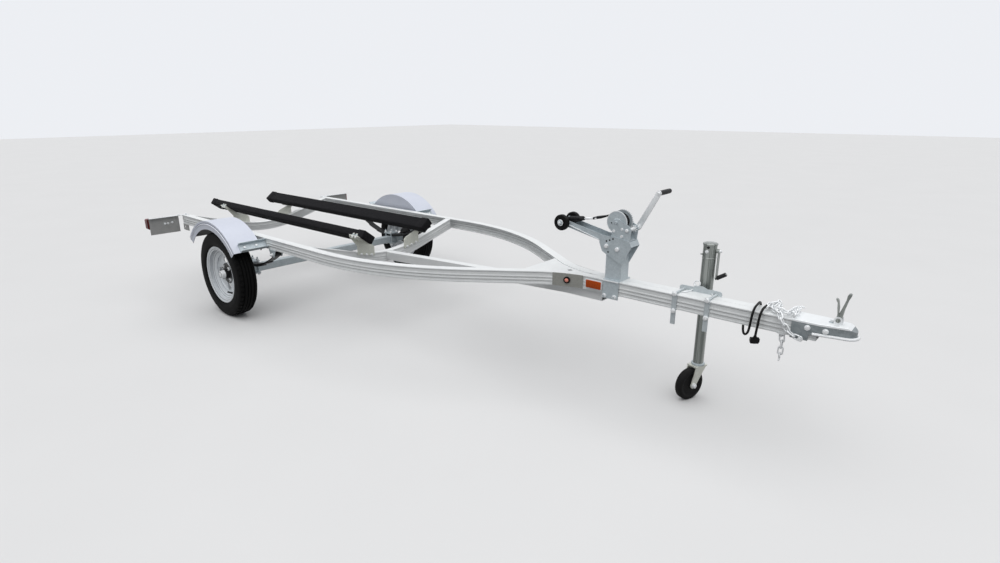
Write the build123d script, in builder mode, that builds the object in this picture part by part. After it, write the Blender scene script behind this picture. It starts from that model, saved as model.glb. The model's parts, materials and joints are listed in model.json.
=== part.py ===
from build123d import *

import math
import os

# Single axle boat trailer: two channel rails bent together into one tongue, standing on its
# wheels and on the jack. Millimetres, +X towards the coupler, +Y to the trailer's left, +Z up.
# The origin is on the ground in the middle of the trailer's length and width.
os.makedirs("parts", exist_ok=True)

# Reach of the two ends from the axle, which set where the axle stands
coupler_reach = 3320
bunk_tail = 1190
axle_x = (bunk_tail - coupler_reach) / 2

# Running clearance of pins, seat gap of pieces that only touch
pin_gap = 0.3
seat_gap = 0.3

# Frame rails: a ribbed channel with its web outside
rail_top = 514
rail_height = 64
rail_flange = 47
rail_web = 6
rail_wall = 4
groove_depth = 3
rail_seam = 0.5
frame_half = 605
rail_tail = 943
rail_bend = 850
bend_angle = 35
bend_radius = 1482
nose_radius = 481
tongue_end = 3200
rail_bottom = rail_top - rail_height
tongue_half = rail_flange + rail_seam
# The straight run between the bends closes the gap from frame to tongue width
turn = math.radians(bend_angle)
run_length = (
    frame_half - tongue_half - (bend_radius + nose_radius) * (1 - math.cos(turn))
) / math.sin(turn)
nose_x = (
    rail_bend
    + (bend_radius + nose_radius) * math.sin(turn)
    + run_length * math.cos(turn)
)
# Grooves of the web as shares of its height: low, high
web_grooves = ((0.10, 0.30), (0.38, 0.54), (0.62, 0.92))

# The two dipped crossmembers, of the same channel, web to the front
vee_front_x = 700
vee_rear_x = -850
vee_low = 388
vee_slope = 16
vee_radius = 868

# Keel tube from the front crossmember to the underside of the fork
keel_size = 50
keel_wall = 4
keel_rise_end = nose_x - 185
keel_end = nose_x + 25
keel_start_top = 384
keel_bend = 400

# Wheels
track_half = frame_half + 131
tyre_radius = 269
tyre_half = 61
rim_radius = 178
rim_half = 52
rim_gauge = 4
bead_radius = 162
drop_radius = 126
drop_half = 14
disc_gauge = 5
window_count = 4
window_radius = 24
window_circle = 88
hub_radius = 31
hub_flange_radius = 68
hub_flange_gauge = 9
hub_inner = 56
hub_outer = 26
cap_radius = 24
cap_length = 26
stud_circle = 50.8
stud_radius = 6
stud_reach = 14

# Axle, springs and what clamps them
axle_size = 50
axle_end = frame_half + 71
spindle_radius = 17
spring_y = frame_half - 24
spring_width = 45
spring_span = 345
leaf_gauge = 6
leaf_shares = (0.45, 0.72, 1.0)
eye_radius = 15
eye_bolt_radius = 6
eye_drop = 30
hanger_gauge = 5
hanger_length = 70
clamp_plate = 8
u_bolt_radius = 5
u_bolt_tail = 22

# Fenders and the channel arms that carry them. The fender stands a little behind the axle.
fender_inner = frame_half + 35
fender_outer = frame_half + 209
fender_x = -15
fender_z = 233
fender_radius = 378
fender_back = 51
fender_ahead = 54
fender_gauge = 2.5
fender_skirt = 52
fender_lip = 20
fender_panel = 500
bead_drop = 20
bead_size = 3.5
arm_inset = 4
arm_web = 54
arm_flange = 26
arm_gauge = 4
arm_outer = frame_half + 167

# Bunks, canted towards the keel: the upper outer edge, then the board
bunk_outer_y = 254.8
bunk_outer_z = 570
bunk_cant = 38
bunk_width = 81.4
bunk_height = 43.7
bunk_edge = 8
bunk_front = 808

# Bunk brackets: a plate on the crossmember and a sloped ledge under the board
bracket_gauge = 5
bracket_reach = 88
bracket_inner = 122
bracket_outer = 246
bracket_head = 456
bracket_neck = 462
bracket_lap = 16
bracket_ledge = 16
bracket_bolt = 5
bracket_bolt_tip = 16
bracket_bolts = (30, 60)

# Tail plates, lamps and the eye plates under the rails' ends
tail_outer = frame_half + 227
tail_inner = frame_half + 27
tail_lip_end = frame_half - 40
tail_drop = 122
tail_gauge = 4
tail_lip = 24
lamp_width = 150
lamp_height = 73
lamp_depth = 52
lamp_overhang = 10
lamp_drop = 3
eye_plate_length = 84
eye_plate_height = 44
eye_plate_gauge = 5
eye_plate_hole = 11

# Fork and tongue details
gusset_back = nose_x - 365
gusset_front = nose_x - 75
gusset_gauge = 4
gusset_hole_from = 190
gusset_hole = 12
side_plate_from = 8
side_plate_to = 26
side_plate_gauge = 2.5
marker_angle = 17.5
marker_radius = 12
marker_depth = 12
reflector_back = nose_x - 51
reflector_length = 88
reflector_height = 44
reflector_depth = 9

# Winch stand, on the tongue ahead of the fork
post_back = nose_x + 40
post_length = 80
post_outer = 34.7
post_gauge = 4
post_height = 126
post_head = 650
stand_plate = 5
stand_drop = 84
stand_bolt_radius = 6
stand_bolts = (12, 64)
head_gauge = 4
head_foot_back = (-20, 644)
head_foot_front = 594
head_nose = (45, 681)
head_shelf = (34, 704)
head_shelf_back = (18, 716)
roller_x = post_back - 239
roller_z = 751
roller_radius = 38
roller_width = 25
roller_inner = 36
shaft_radius = 8
boom_slope = -12.5
boom_depth = 30
boom_end = post_back - 5
boom_gauge = 3

# Winch
drum_x = post_back + 42
drum_z = 783
drum_radius = 49
drum_half = 29
drum_plate = 2.5
coil_radius = 34
gear_gauge = 4
winch_side = 31
winch_gauge = 3.5
gear_ratio = 3.5
pinion_turn = -28
crank_y = 68
crank_reach_x = 86
crank_reach_z = 160
crank_width = 22
crank_gauge = 6
grip_radius = 14
grip_length = 106
strap_width = 50
strap_gauge = 3
hook_back = roller_x + 90
hook_back_z = 771
hook_front = roller_x + 170
hook_front_z = 785
hook_gauge = 6

# Jack with its caster
jack_x = 2722
jack_y = 110
jack_radius = 28.5
jack_top = 715
jack_bottom = 455
jack_gauge = 5
jack_inner_foot = 160
jack_inner_head = 480
jack_inner_radius = 23
jack_inner_gauge = 3
jack_plug = 24
swivel_z = 482
swivel_radius = 27
mount_half = 92
mount_gauge = 5
mount_strap = 20
mount_strap_drop = 66
mount_pitch = 140
mount_overlap = 20
mount_bulge = 46
mount_bulge_up = 14
mount_corner = 12
mount_bolt_radius = 5
mount_bolt_off = 6
mount_bolt_tail = 8
mount_sleeve = 60
jack_crank_z = 690
jack_crank_drop = 112
jack_crank_hub = 8
jack_grip_radius = 9
jack_grip_length = 44
caster_radius = 74
caster_width = 36
caster_trail = 46
caster_turn = 70
caster_pin_radius = 6
yoke_gauge = 5
yoke_plate = 6
yoke_plate_half = 30
yoke_gap = 4
king_pin_radius = 8

# Coupler
coupler_back = 3112
coupler_shoulder = 3205
coupler_gauge = 5
coupler_drop = 38
coupler_skirt = 68
ball_x = 3282
ball_z = 488
ball_bore = 25.8
nose_outer = 38
nose_slope_from = 8
nose_fall = 12
coupler_lip = 9
latch_x = 3254
latch_z = 535
latch_reach = 98
latch_lean = 13
latch_width = 20
latch_gauge = 7
latch_pin_radius = 5
latch_ear = 5

# Safety chains: the bar, the distance of the contacts and the room inside a link
chain_bar = 4.4
chain_pitch = 25
chain_inside = 10
chain_slack = 0.7
chain_pin = 4
chain_pin_y = 63.4
hook_bar = 5
hook_bend = 8
# Where the chains lie, from their pins: x from the axle, y, z
chain_right_route = (
    (3150, -chain_pin_y, 452),
    (3122, -chain_pin_y, 460),
    (3101, -chain_pin_y, 476),
    (3089, -64, 495),
    (3078, -64, 513),
    (3066, -50, 529),
    (3045, -24, 528),
    (3025, 5, 526),
    (3032, 34, 527),
)
chain_left_route = (
    (3150, chain_pin_y, 452),
    (3122, chain_pin_y, 460),
    (3106, chain_pin_y, 476),
    (3102, 64, 506),
    (3104, 54, 526),
    (3108, 34, 531),
    (3118, -42, 531),
)
chain_short_route = (
    (3081, -30, 436),
    (3085, -30, 410),
    (3083, -30, 361),
)

# Wiring: a limp cord wound twice over the tongue, with its plug. x from the axle, y, z
wire_radius = 3
plug_length = 34
plug_width = 20
plug_depth = 15
wire_route = (
    (2926, -38, rail_bottom - seat_gap),
    (2926, -38, 426),
    (2940, -58, 414),
    (2960, -68, 430),
    (2966, -67, 466),
    (2966, -66, 506),
    (2965, -44, 528),
    (2965, 0, 531),
    (2964, 44, 528),
    (2964, 66, 506),
    (2964, 67, 466),
    (2985, 69, 454),
    (3006, 67, 466),
    (3006, 66, 506),
    (3005, 44, 528),
    (3004, 0, 531),
    (3003, -44, 528),
    (3002, -66, 506),
    (3000, -67, 472),
    (2997, -66, 442),
    (2995, -64, 416),
)


def keep(piece, name):
    piece.part.label = name
    export_step(piece.part, f"parts/{name}.step")


def mirrored(piece, name):
    with BuildPart() as other:
        mirror(piece.part, about=Plane.XZ)
    keep(other, name)


def channel_section():
    # The channel stands on the sketch's origin, web at the left, open to the right
    Rectangle(rail_flange, rail_height, align=(Align.MIN, Align.MIN))
    with Locations((rail_web, rail_wall)):
        Rectangle(
            rail_flange,
            rail_height - 2 * rail_wall,
            align=(Align.MIN, Align.MIN),
            mode=Mode.SUBTRACT,
        )
    for low, high in web_grooves:
        with Locations((0, low * rail_height)):
            Rectangle(
                groove_depth,
                (high - low) * rail_height,
                align=(Align.MIN, Align.MIN),
                mode=Mode.SUBTRACT,
            )


def side_plane(y):
    # Sketch plane along the trailer's side: sketch x is forward, sketch y is up
    return Plane(origin=(axle_x, y, 0), x_dir=(1, 0, 0), z_dir=(0, -1, 0))


def face_plane(x):
    # Sketch plane across the trailer: sketch x is left, sketch y is up, normal forward
    return Plane(origin=(axle_x + x, 0, 0), x_dir=(0, 1, 0), z_dir=(1, 0, 0))


def plan_plane(z):
    return Plane(origin=(axle_x, 0, z), x_dir=(1, 0, 0), z_dir=(0, 0, 1))


# Rails
with BuildPart() as rail_right:
    with BuildLine(plan_plane(rail_bottom)):
        straight = Line((-rail_tail, -frame_half), (rail_bend, -frame_half))
        bow = JernArc(straight @ 1, straight % 1, bend_radius, bend_angle)
        run_in = PolarLine(bow @ 1, run_length, bend_angle)
        ease = JernArc(run_in @ 1, run_in % 1, nose_radius, -bend_angle)
        Line(ease @ 1, (tongue_end, -tongue_half))
    with BuildSketch(
        Plane(
            origin=(axle_x - rail_tail, -frame_half, rail_bottom),
            x_dir=(0, 1, 0),
            z_dir=(1, 0, 0),
        )
    ):
        channel_section()
    sweep()
keep(rail_right, "rail_right")
mirrored(rail_right, "rail_left")

# Crossmembers: two arms and a wide round bottom, cut off plumb at the rails' flanges
vee_turn = math.radians(vee_slope)
vee_foot_radius = vee_radius + rail_height
vee_foot_y = vee_foot_radius * math.sin(vee_turn)
vee_centre_z = vee_low + vee_radius
vee_foot_z = vee_centre_z - vee_foot_radius * math.cos(vee_turn)
vee_end_z = vee_foot_z + (frame_half - vee_foot_y) * math.tan(vee_turn)
rail_clear = frame_half - rail_flange - seat_gap

for x, name in ((vee_front_x, "crossmember_front"), (vee_rear_x, "crossmember_rear")):
    with BuildPart() as crossmember:
        with BuildLine(face_plane(x)):
            arm = Line((-frame_half, vee_end_z), (-vee_foot_y, vee_foot_z))
            bowl = CenterArc((0, vee_centre_z), vee_foot_radius, 270 - vee_slope, 2 * vee_slope)
            Line((vee_foot_y, vee_foot_z), (frame_half, vee_end_z))
        with BuildSketch(
            Plane(
                origin=(axle_x + x, -frame_half, vee_end_z),
                x_dir=(-1, 0, 0),
                z_dir=(0, math.cos(vee_turn), -math.sin(vee_turn)),
            )
        ):
            channel_section()
        sweep()
        with Locations((axle_x + x, 0, rail_top / 2)):
            Box(4 * rail_flange, 2 * rail_clear, 2 * rail_top, mode=Mode.INTERSECT)
    keep(crossmember, name)

# Keel tube: rises gently, then lies flat against the rails' underside
keel_foot = keel_start_top - keel_size
with BuildPart() as keel_beam:
    with BuildLine(side_plane(0)):
        FilletPolyline(
            (vee_front_x, keel_foot + keel_size / 2),
            (keel_rise_end, rail_bottom - keel_size / 2),
            (keel_end, rail_bottom - keel_size / 2),
            radius=keel_bend,
        )
    rise = math.atan2(rail_bottom - keel_start_top, keel_rise_end - vee_front_x)
    with BuildSketch(
        Plane(
            origin=(axle_x + vee_front_x, 0, keel_foot + keel_size / 2),
            x_dir=(0, 1, 0),
            z_dir=(math.cos(rise), 0, math.sin(rise)),
        )
    ):
        Rectangle(keel_size, keel_size)
        Rectangle(keel_size - 2 * keel_wall, keel_size - 2 * keel_wall, mode=Mode.SUBTRACT)
    sweep()
    with Locations((axle_x + vee_front_x + keel_end / 2, 0, rail_bottom / 2)):
        Box(keel_end, 2 * keel_size, rail_bottom, mode=Mode.INTERSECT)
keep(keel_beam, "keel_beam")


def rail_face_y(x):
    # Distance of the rail's outer face from the middle, from the run-in forward
    if x > nose_x:
        return tongue_half
    return tongue_half + nose_radius - math.sqrt(nose_radius**2 - (nose_x - x) ** 2)


def web_face_y(x):
    # Distance of the web's inner face from the middle along the fork, less the seat gap
    radius = nose_radius + rail_web + seat_gap
    bend_start = nose_x - radius * math.sin(turn)
    bend_y = tongue_half + nose_radius - radius * math.cos(turn)
    if x < bend_start:
        return bend_y + (bend_start - x) * math.tan(turn)
    return tongue_half + nose_radius - math.sqrt(radius**2 - (nose_x - x) ** 2)


# Gusset plate under the top flanges where the rails come together
gusset_bend = nose_x - (nose_radius + rail_web + seat_gap) * math.sin(turn)
gusset_mid = (gusset_bend + gusset_front) / 2
with BuildPart() as fork_gusset:
    with BuildSketch(plan_plane(rail_top - rail_wall - gusset_gauge)):
        with BuildLine():
            web_line = [(x, web_face_y(x)) for x in (gusset_back, gusset_bend, gusset_mid, gusset_front)]
            left_run = Line(web_line[0], web_line[1])
            left_arc = ThreePointArc(*web_line[1:])
            right_run = Line(*[(x, -y) for x, y in web_line[:2]])
            right_arc = ThreePointArc(*[(x, -y) for x, y in web_line[1:]])
            Line(left_run @ 0, right_run @ 0)
            Line(left_arc @ 1, right_arc @ 1)
        make_face()
        with Locations((gusset_back + gusset_hole_from, 0)):
            Circle(gusset_hole, mode=Mode.SUBTRACT)
    extrude(amount=gusset_gauge)
keep(fork_gusset, "fork_gusset")

# Side plate that follows the rail's reverse bend, and the lamp on it
nose_centre_y = -tongue_half - nose_radius
with BuildPart() as side_plate_right:
    with BuildSketch(plan_plane(rail_bottom)):
        with BuildLine():
            outer = CenterArc(
                (nose_x, nose_centre_y),
                nose_radius,
                90 + side_plate_from,
                side_plate_to - side_plate_from,
            )
            inner = CenterArc(
                (nose_x, nose_centre_y),
                nose_radius - side_plate_gauge,
                90 + side_plate_from,
                side_plate_to - side_plate_from,
            )
            Line(outer @ 0, inner @ 0)
            Line(outer @ 1, inner @ 1)
        make_face()
    extrude(amount=rail_height)
keep(side_plate_right, "side_plate_right")
mirrored(side_plate_right, "side_plate_left")

marker_turn = math.radians(marker_angle)
marker_seat = nose_radius - side_plate_gauge - seat_gap
with BuildPart() as amber_right:
    # Round lamp on the side plate, then the oblong reflector ahead of it
    with BuildSketch(
        Plane(
            origin=(
                axle_x + nose_x - marker_seat * math.sin(marker_turn),
                nose_centre_y + marker_seat * math.cos(marker_turn),
                rail_bottom + rail_height / 2,
            ),
            x_dir=(0, 0, 1),
            z_dir=(math.sin(marker_turn), -math.cos(marker_turn), 0),
        )
    ):
        Circle(marker_radius)
    extrude(amount=marker_depth)
    fillet(amber_right.edges().group_by(Axis.Y)[0], marker_depth / 3)
    with BuildSketch(side_plane(-rail_face_y(reflector_back) - seat_gap)):
        with Locations((reflector_back + reflector_length / 2, rail_bottom + rail_height / 2)):
            RectangleRounded(reflector_length, reflector_height, 5)
    extrude(amount=reflector_depth)
keep(amber_right, "amber_lights_right")
mirrored(amber_right, "amber_lights_left")

# Tail plate outside the rail's end, hung from a lip that lies over the rail, with the lamp
# behind it, and the eye plate under the rail's end
tail_high = rail_top + seat_gap + tail_gauge
with BuildPart() as tail_right:
    with BuildSketch(face_plane(-rail_tail - tail_gauge)):
        with Locations((-tail_outer, tail_high)):
            Rectangle(tail_outer - tail_inner, tail_drop, align=(Align.MIN, Align.MAX))
    extrude(amount=tail_gauge)
    with Locations((axle_x - rail_tail - tail_gauge, -tail_outer, tail_high)):
        Box(
            tail_lip,
            tail_outer - tail_lip_end,
            tail_gauge,
            align=(Align.MIN, Align.MIN, Align.MAX),
        )
    with BuildSketch(side_plane(-frame_half + eye_plate_gauge)):
        with Locations((-rail_tail, rail_bottom - seat_gap)):
            Rectangle(eye_plate_length, eye_plate_height, align=(Align.MIN, Align.MAX))
        with Locations((-rail_tail + eye_plate_length / 4, rail_bottom - eye_plate_height / 2)):
            Circle(eye_plate_hole, mode=Mode.SUBTRACT)
    extrude(amount=eye_plate_gauge)
    with Locations((axle_x - rail_tail, -frame_half, rail_bottom - seat_gap)):
        Box(
            eye_plate_length,
            rail_flange,
            eye_plate_gauge,
            align=(Align.MIN, Align.MIN, Align.MAX),
        )
keep(tail_right, "tail_bracket_right")
mirrored(tail_right, "tail_bracket_left")

with BuildPart() as lamp_right:
    with Locations(
        (
            axle_x - rail_tail - tail_gauge,
            -tail_outer - lamp_overhang,
            rail_top - lamp_drop,
        )
    ):
        Box(lamp_depth, lamp_width, lamp_height, align=(Align.MAX, Align.MIN, Align.MAX))
    fillet(lamp_right.edges().filter_by(Axis.X), 10)
    fillet(lamp_right.faces().sort_by(Axis.X)[0].edges(), 6)
keep(lamp_right, "tail_lamp_right")
mirrored(lamp_right, "tail_lamp_left")

# Fender: a skin with short skirts, revolved about a line above the axle
start = math.radians(-fender_back)
fender_axis = Axis((axle_x + fender_x, 0, fender_z), (0, 1, 0))
fender_plane = Plane(
    origin=(axle_x + fender_x, 0, fender_z),
    x_dir=(0, 1, 0),
    z_dir=(math.cos(start), 0, -math.sin(start)),
)
with BuildPart() as fender_right:
    with BuildSketch(fender_plane):
        with Locations((-fender_outer, fender_radius)):
            Rectangle(fender_outer - fender_inner, fender_gauge, align=(Align.MIN, Align.MAX))
            Rectangle(fender_gauge, fender_skirt, align=(Align.MIN, Align.MAX))
        with Locations((-fender_inner, fender_radius)):
            Rectangle(fender_gauge, fender_lip, align=(Align.MAX, Align.MAX))
        with Locations((-fender_outer, fender_radius - bead_drop)):
            Circle(bead_size)
    revolve(axis=fender_axis, revolution_arc=fender_back + fender_ahead)
    # The frame side is closed down to a straight edge
    with BuildSketch(side_plane(-fender_inner)):
        with Locations((fender_x, fender_z)):
            Circle(fender_radius)
        with Locations((fender_x, fender_panel)):
            Rectangle(
                3 * fender_radius,
                2 * fender_radius,
                align=(Align.CENTER, Align.MAX),
                mode=Mode.SUBTRACT,
            )
    extrude(amount=fender_gauge)
keep(fender_right, "fender_right")
mirrored(fender_right, "fender_left")

# Channel arms across the fender, one before and one behind the wheel
with BuildPart() as arms_right:
    for lean_angle in (fender_ahead - arm_inset, arm_inset - fender_back):
        lean = math.radians(lean_angle)
        seat = fender_radius + seat_gap
        with BuildSketch(
            Plane(
                origin=(
                    axle_x + fender_x + seat * math.sin(lean),
                    -frame_half - seat_gap,
                    fender_z + seat * math.cos(lean),
                ),
                x_dir=(math.cos(lean), 0, -math.sin(lean)),
                z_dir=(0, -1, 0),
            )
        ):
            Rectangle(arm_web, arm_flange, align=(Align.CENTER, Align.MIN))
            with Locations((0, arm_gauge)):
                Rectangle(
                    arm_web - 2 * arm_gauge,
                    arm_flange,
                    align=(Align.CENTER, Align.MIN),
                    mode=Mode.SUBTRACT,
                )
        extrude(amount=arm_outer - frame_half - seat_gap)
keep(arms_right, "fender_arms_right")
mirrored(arms_right, "fender_arms_left")

# Springs: three leaves on the axle, rising to an eye at each end
axle_z = tyre_radius
spring_seat = axle_z + axle_size / 2
pack_height = leaf_gauge * len(leaf_shares)
eye_z = rail_bottom - eye_drop
leaf_top_rise = eye_z - eye_radius - (spring_seat + pack_height - leaf_gauge)
leaf_radius = (spring_span**2 + leaf_top_rise**2) / (2 * leaf_top_rise)
leaf_centre_z = spring_seat + pack_height - leaf_gauge + leaf_radius
with BuildPart() as spring_right:
    with BuildSketch(side_plane(-spring_y + spring_width / 2)):
        for number, share in enumerate(leaf_shares):
            drop = (len(leaf_shares) - 1 - number) * leaf_gauge
            reach = math.degrees(math.asin(share * spring_span / leaf_radius))
            with BuildLine():
                upper = CenterArc(
                    (0, leaf_centre_z), leaf_radius + drop - leaf_gauge, 270 - reach, 2 * reach
                )
                lower = CenterArc((0, leaf_centre_z), leaf_radius + drop, 270 - reach, 2 * reach)
                Line(upper @ 0, lower @ 0)
                Line(upper @ 1, lower @ 1)
            make_face()
        with Locations((-spring_span, eye_z), (spring_span, eye_z)):
            Circle(eye_radius)
            Circle(eye_bolt_radius + pin_gap, mode=Mode.SUBTRACT)
    extrude(amount=spring_width)
keep(spring_right, "spring_right")
mirrored(spring_right, "spring_left")

# Hangers: a base plate under the rail, two ears and the eye bolt
with BuildPart() as hangers_right:
    for x in (-spring_span, spring_span):
        with Locations((axle_x + x, -spring_y, rail_bottom)):
            Box(
                hanger_length,
                spring_width + 2 * hanger_gauge + 1,
                hanger_gauge,
                align=(Align.CENTER, Align.CENTER, Align.MAX),
            )
        for side in (-1, 1):
            ear_y = -spring_y + side * (spring_width + hanger_gauge + 1) / 2
            with BuildSketch(side_plane(ear_y + hanger_gauge / 2)):
                with BuildLine():
                    Polyline(
                        (x - hanger_length / 2, rail_bottom - hanger_gauge),
                        (x + hanger_length / 2, rail_bottom - hanger_gauge),
                        (x + eye_radius, eye_z - eye_radius),
                        (x - eye_radius, eye_z - eye_radius),
                        close=True,
                    )
                make_face()
            extrude(amount=hanger_gauge)
        with Locations(Plane(origin=(axle_x + x, -spring_y, eye_z), z_dir=(0, 1, 0))):
            Cylinder(eye_bolt_radius, spring_width + 4 * hanger_gauge)
keep(hangers_right, "spring_hangers_right")
mirrored(hangers_right, "spring_hangers_left")

# Axle clamp: plate under the axle, saddle over the leaves, two U-bolts between them
clamp_x = axle_size / 2 + u_bolt_radius + 1
clamp_y = spring_width / 2 + u_bolt_radius + 1
clamp_low = axle_z - axle_size / 2 - clamp_plate
saddle_half = clamp_x + 2 * u_bolt_radius
saddle_lift = leaf_radius - math.sqrt(leaf_radius**2 - saddle_half**2) + seat_gap
clamp_high = spring_seat + pack_height + saddle_lift + clamp_plate
with BuildPart() as clamp_right:
    for z in (clamp_low, clamp_high - clamp_plate):
        with Locations((axle_x, -spring_y, z)):
            Box(
                2 * clamp_x + 4 * u_bolt_radius,
                2 * clamp_y + 4 * u_bolt_radius,
                clamp_plate,
                align=(Align.CENTER, Align.CENTER, Align.MIN),
            )
    with Locations((axle_x, -spring_y, clamp_low - 2 * u_bolt_radius)):
        with GridLocations(2 * clamp_x, 2 * clamp_y, 2, 2):
            Cylinder(
                u_bolt_radius,
                clamp_high - clamp_low + 2 * u_bolt_radius + u_bolt_tail,
                align=(Align.CENTER, Align.CENTER, Align.MIN),
            )
keep(clamp_right, "axle_clamp_right")
mirrored(clamp_right, "axle_clamp_left")

# Axle: square tube with a spindle in each end
spindle_end = track_half + hub_outer - 6
with BuildPart() as axle:
    with Locations((axle_x, 0, axle_z)):
        Box(axle_size, 2 * axle_end, axle_size)
    fillet(axle.edges().filter_by(Axis.Y), 5)
    with Locations(Plane(origin=(axle_x, 0, axle_z), z_dir=(0, 1, 0))):
        Cylinder(spindle_radius, 2 * spindle_end)
keep(axle, "axle")


def wheel_plane(side):
    # Sketch x runs outwards along the spindle from the wheel's middle, sketch y is up
    return Plane(
        origin=(axle_x, side * track_half, axle_z),
        x_dir=(0, side, 0),
        z_dir=(side, 0, 0),
    )


# Half of the tyre's section from the bead out: distance from the middle, radius
tyre_side = (
    (rim_half - 11, bead_radius),
    (rim_half - 8, rim_radius + 1),
    (tyre_half - 4, rim_radius + 12),
    (tyre_half, rim_radius + 36),
    (tyre_half - 2, tyre_radius - 28),
    (tyre_half - 12, tyre_radius - 6),
    (tyre_half - 32, tyre_radius - 1),
)
spin = Axis((axle_x, 0, axle_z), (0, 1, 0))
for side, word in ((1, "left"), (-1, "right")):
    with BuildPart() as hub:
        with BuildSketch(wheel_plane(side)):
            with BuildLine():
                Polyline(
                    (-hub_inner, 0),
                    (-hub_inner, hub_radius + 4),
                    (-hub_flange_gauge, hub_radius),
                    (-hub_flange_gauge, hub_flange_radius),
                    (0, hub_flange_radius),
                    (0, hub_radius),
                    (hub_outer, hub_radius - 2),
                    (hub_outer, cap_radius),
                    (hub_outer + cap_length - 6, cap_radius),
                    (hub_outer + cap_length, cap_radius - 6),
                    (hub_outer + cap_length, 0),
                    close=True,
                )
            make_face()
            with Locations((-hub_inner, 0)):
                Rectangle(
                    hub_inner + hub_outer - 4,
                    spindle_radius + pin_gap,
                    align=(Align.MIN, Align.MIN),
                    mode=Mode.SUBTRACT,
                )
        revolve(axis=spin)
        with BuildSketch(
            Plane(
                origin=(axle_x, side * track_half, axle_z),
                x_dir=(1, 0, 0),
                z_dir=(0, side, 0),
            )
        ):
            with PolarLocations(stud_circle, 4, start_angle=45):
                Circle(stud_radius)
        extrude(amount=disc_gauge + stud_reach)
    keep(hub, f"hub_{word}")

    with BuildPart() as rim:
        barrel = (
            (-rim_half, rim_radius),
            (-rim_half + 6, bead_radius - 1),
            (-drop_half - 16, bead_radius - 1),
            (-drop_half, drop_radius),
            (drop_half, drop_radius),
            (drop_half + 16, bead_radius - 1),
            (rim_half - 6, bead_radius - 1),
            (rim_half, rim_radius),
        )
        with BuildSketch(wheel_plane(side)):
            with BuildLine():
                Polyline(
                    *barrel,
                    *[(a, r - rim_gauge) for a, r in reversed(barrel)],
                    close=True,
                )
            make_face()
        revolve(axis=spin)
        with BuildSketch(
            Plane(
                origin=(axle_x, side * track_half, axle_z),
                x_dir=(1, 0, 0),
                z_dir=(0, side, 0),
            )
        ):
            Circle(drop_radius - rim_gauge / 2)
            Circle(hub_radius + seat_gap, mode=Mode.SUBTRACT)
            with PolarLocations(window_circle, window_count):
                Circle(window_radius, mode=Mode.SUBTRACT)
            with PolarLocations(stud_circle, 4, start_angle=45):
                Circle(stud_radius + seat_gap, mode=Mode.SUBTRACT)
        extrude(amount=disc_gauge)
    keep(rim, f"rim_{word}")

    with BuildPart() as tyre:
        with BuildSketch(wheel_plane(side)):
            with BuildLine():
                Polyline(
                    *tyre_side,
                    (0, tyre_radius),
                    *[(-a, r) for a, r in reversed(tyre_side)],
                    close=True,
                )
            make_face()
        revolve(axis=spin)
    keep(tyre, f"tyre_{word}")

# Bunks: carpeted boards canted to the hull. The board's corners, as seen from the front:
cant = math.radians(bunk_cant)
board_in = (bunk_width * math.cos(cant), bunk_width * math.sin(cant))
board_down = (bunk_height * math.sin(cant), bunk_height * math.cos(cant))
bunk_inner_y = bunk_outer_y - board_in[0]
bunk_inner_z = bunk_outer_z - board_in[1]
bunk_y = (bunk_outer_y + bunk_inner_y + board_down[0]) / 2
bunk_z = (bunk_outer_z + bunk_inner_z - board_down[1]) / 2
under_outer = (bunk_outer_y + board_down[0], bunk_outer_z - board_down[1])
under_inner = (bunk_inner_y + board_down[0], bunk_inner_z - board_down[1])

with BuildPart() as bunk_right:
    with BuildSketch(face_plane(-bunk_tail)):
        with Locations((-bunk_y, bunk_z)):
            RectangleRounded(bunk_width, bunk_height, bunk_edge, rotation=-bunk_cant)
    extrude(amount=bunk_front + bunk_tail)
keep(bunk_right, "bunk_right")
mirrored(bunk_right, "bunk_left")


def vee_top_z(y):
    # Height of a crossmember's top edge at the distance y from the middle
    if abs(y) < vee_radius * math.sin(vee_turn):
        return vee_centre_z - math.sqrt(vee_radius**2 - y**2)
    return vee_centre_z - (vee_radius - abs(y) * math.sin(vee_turn)) / math.cos(vee_turn)


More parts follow.
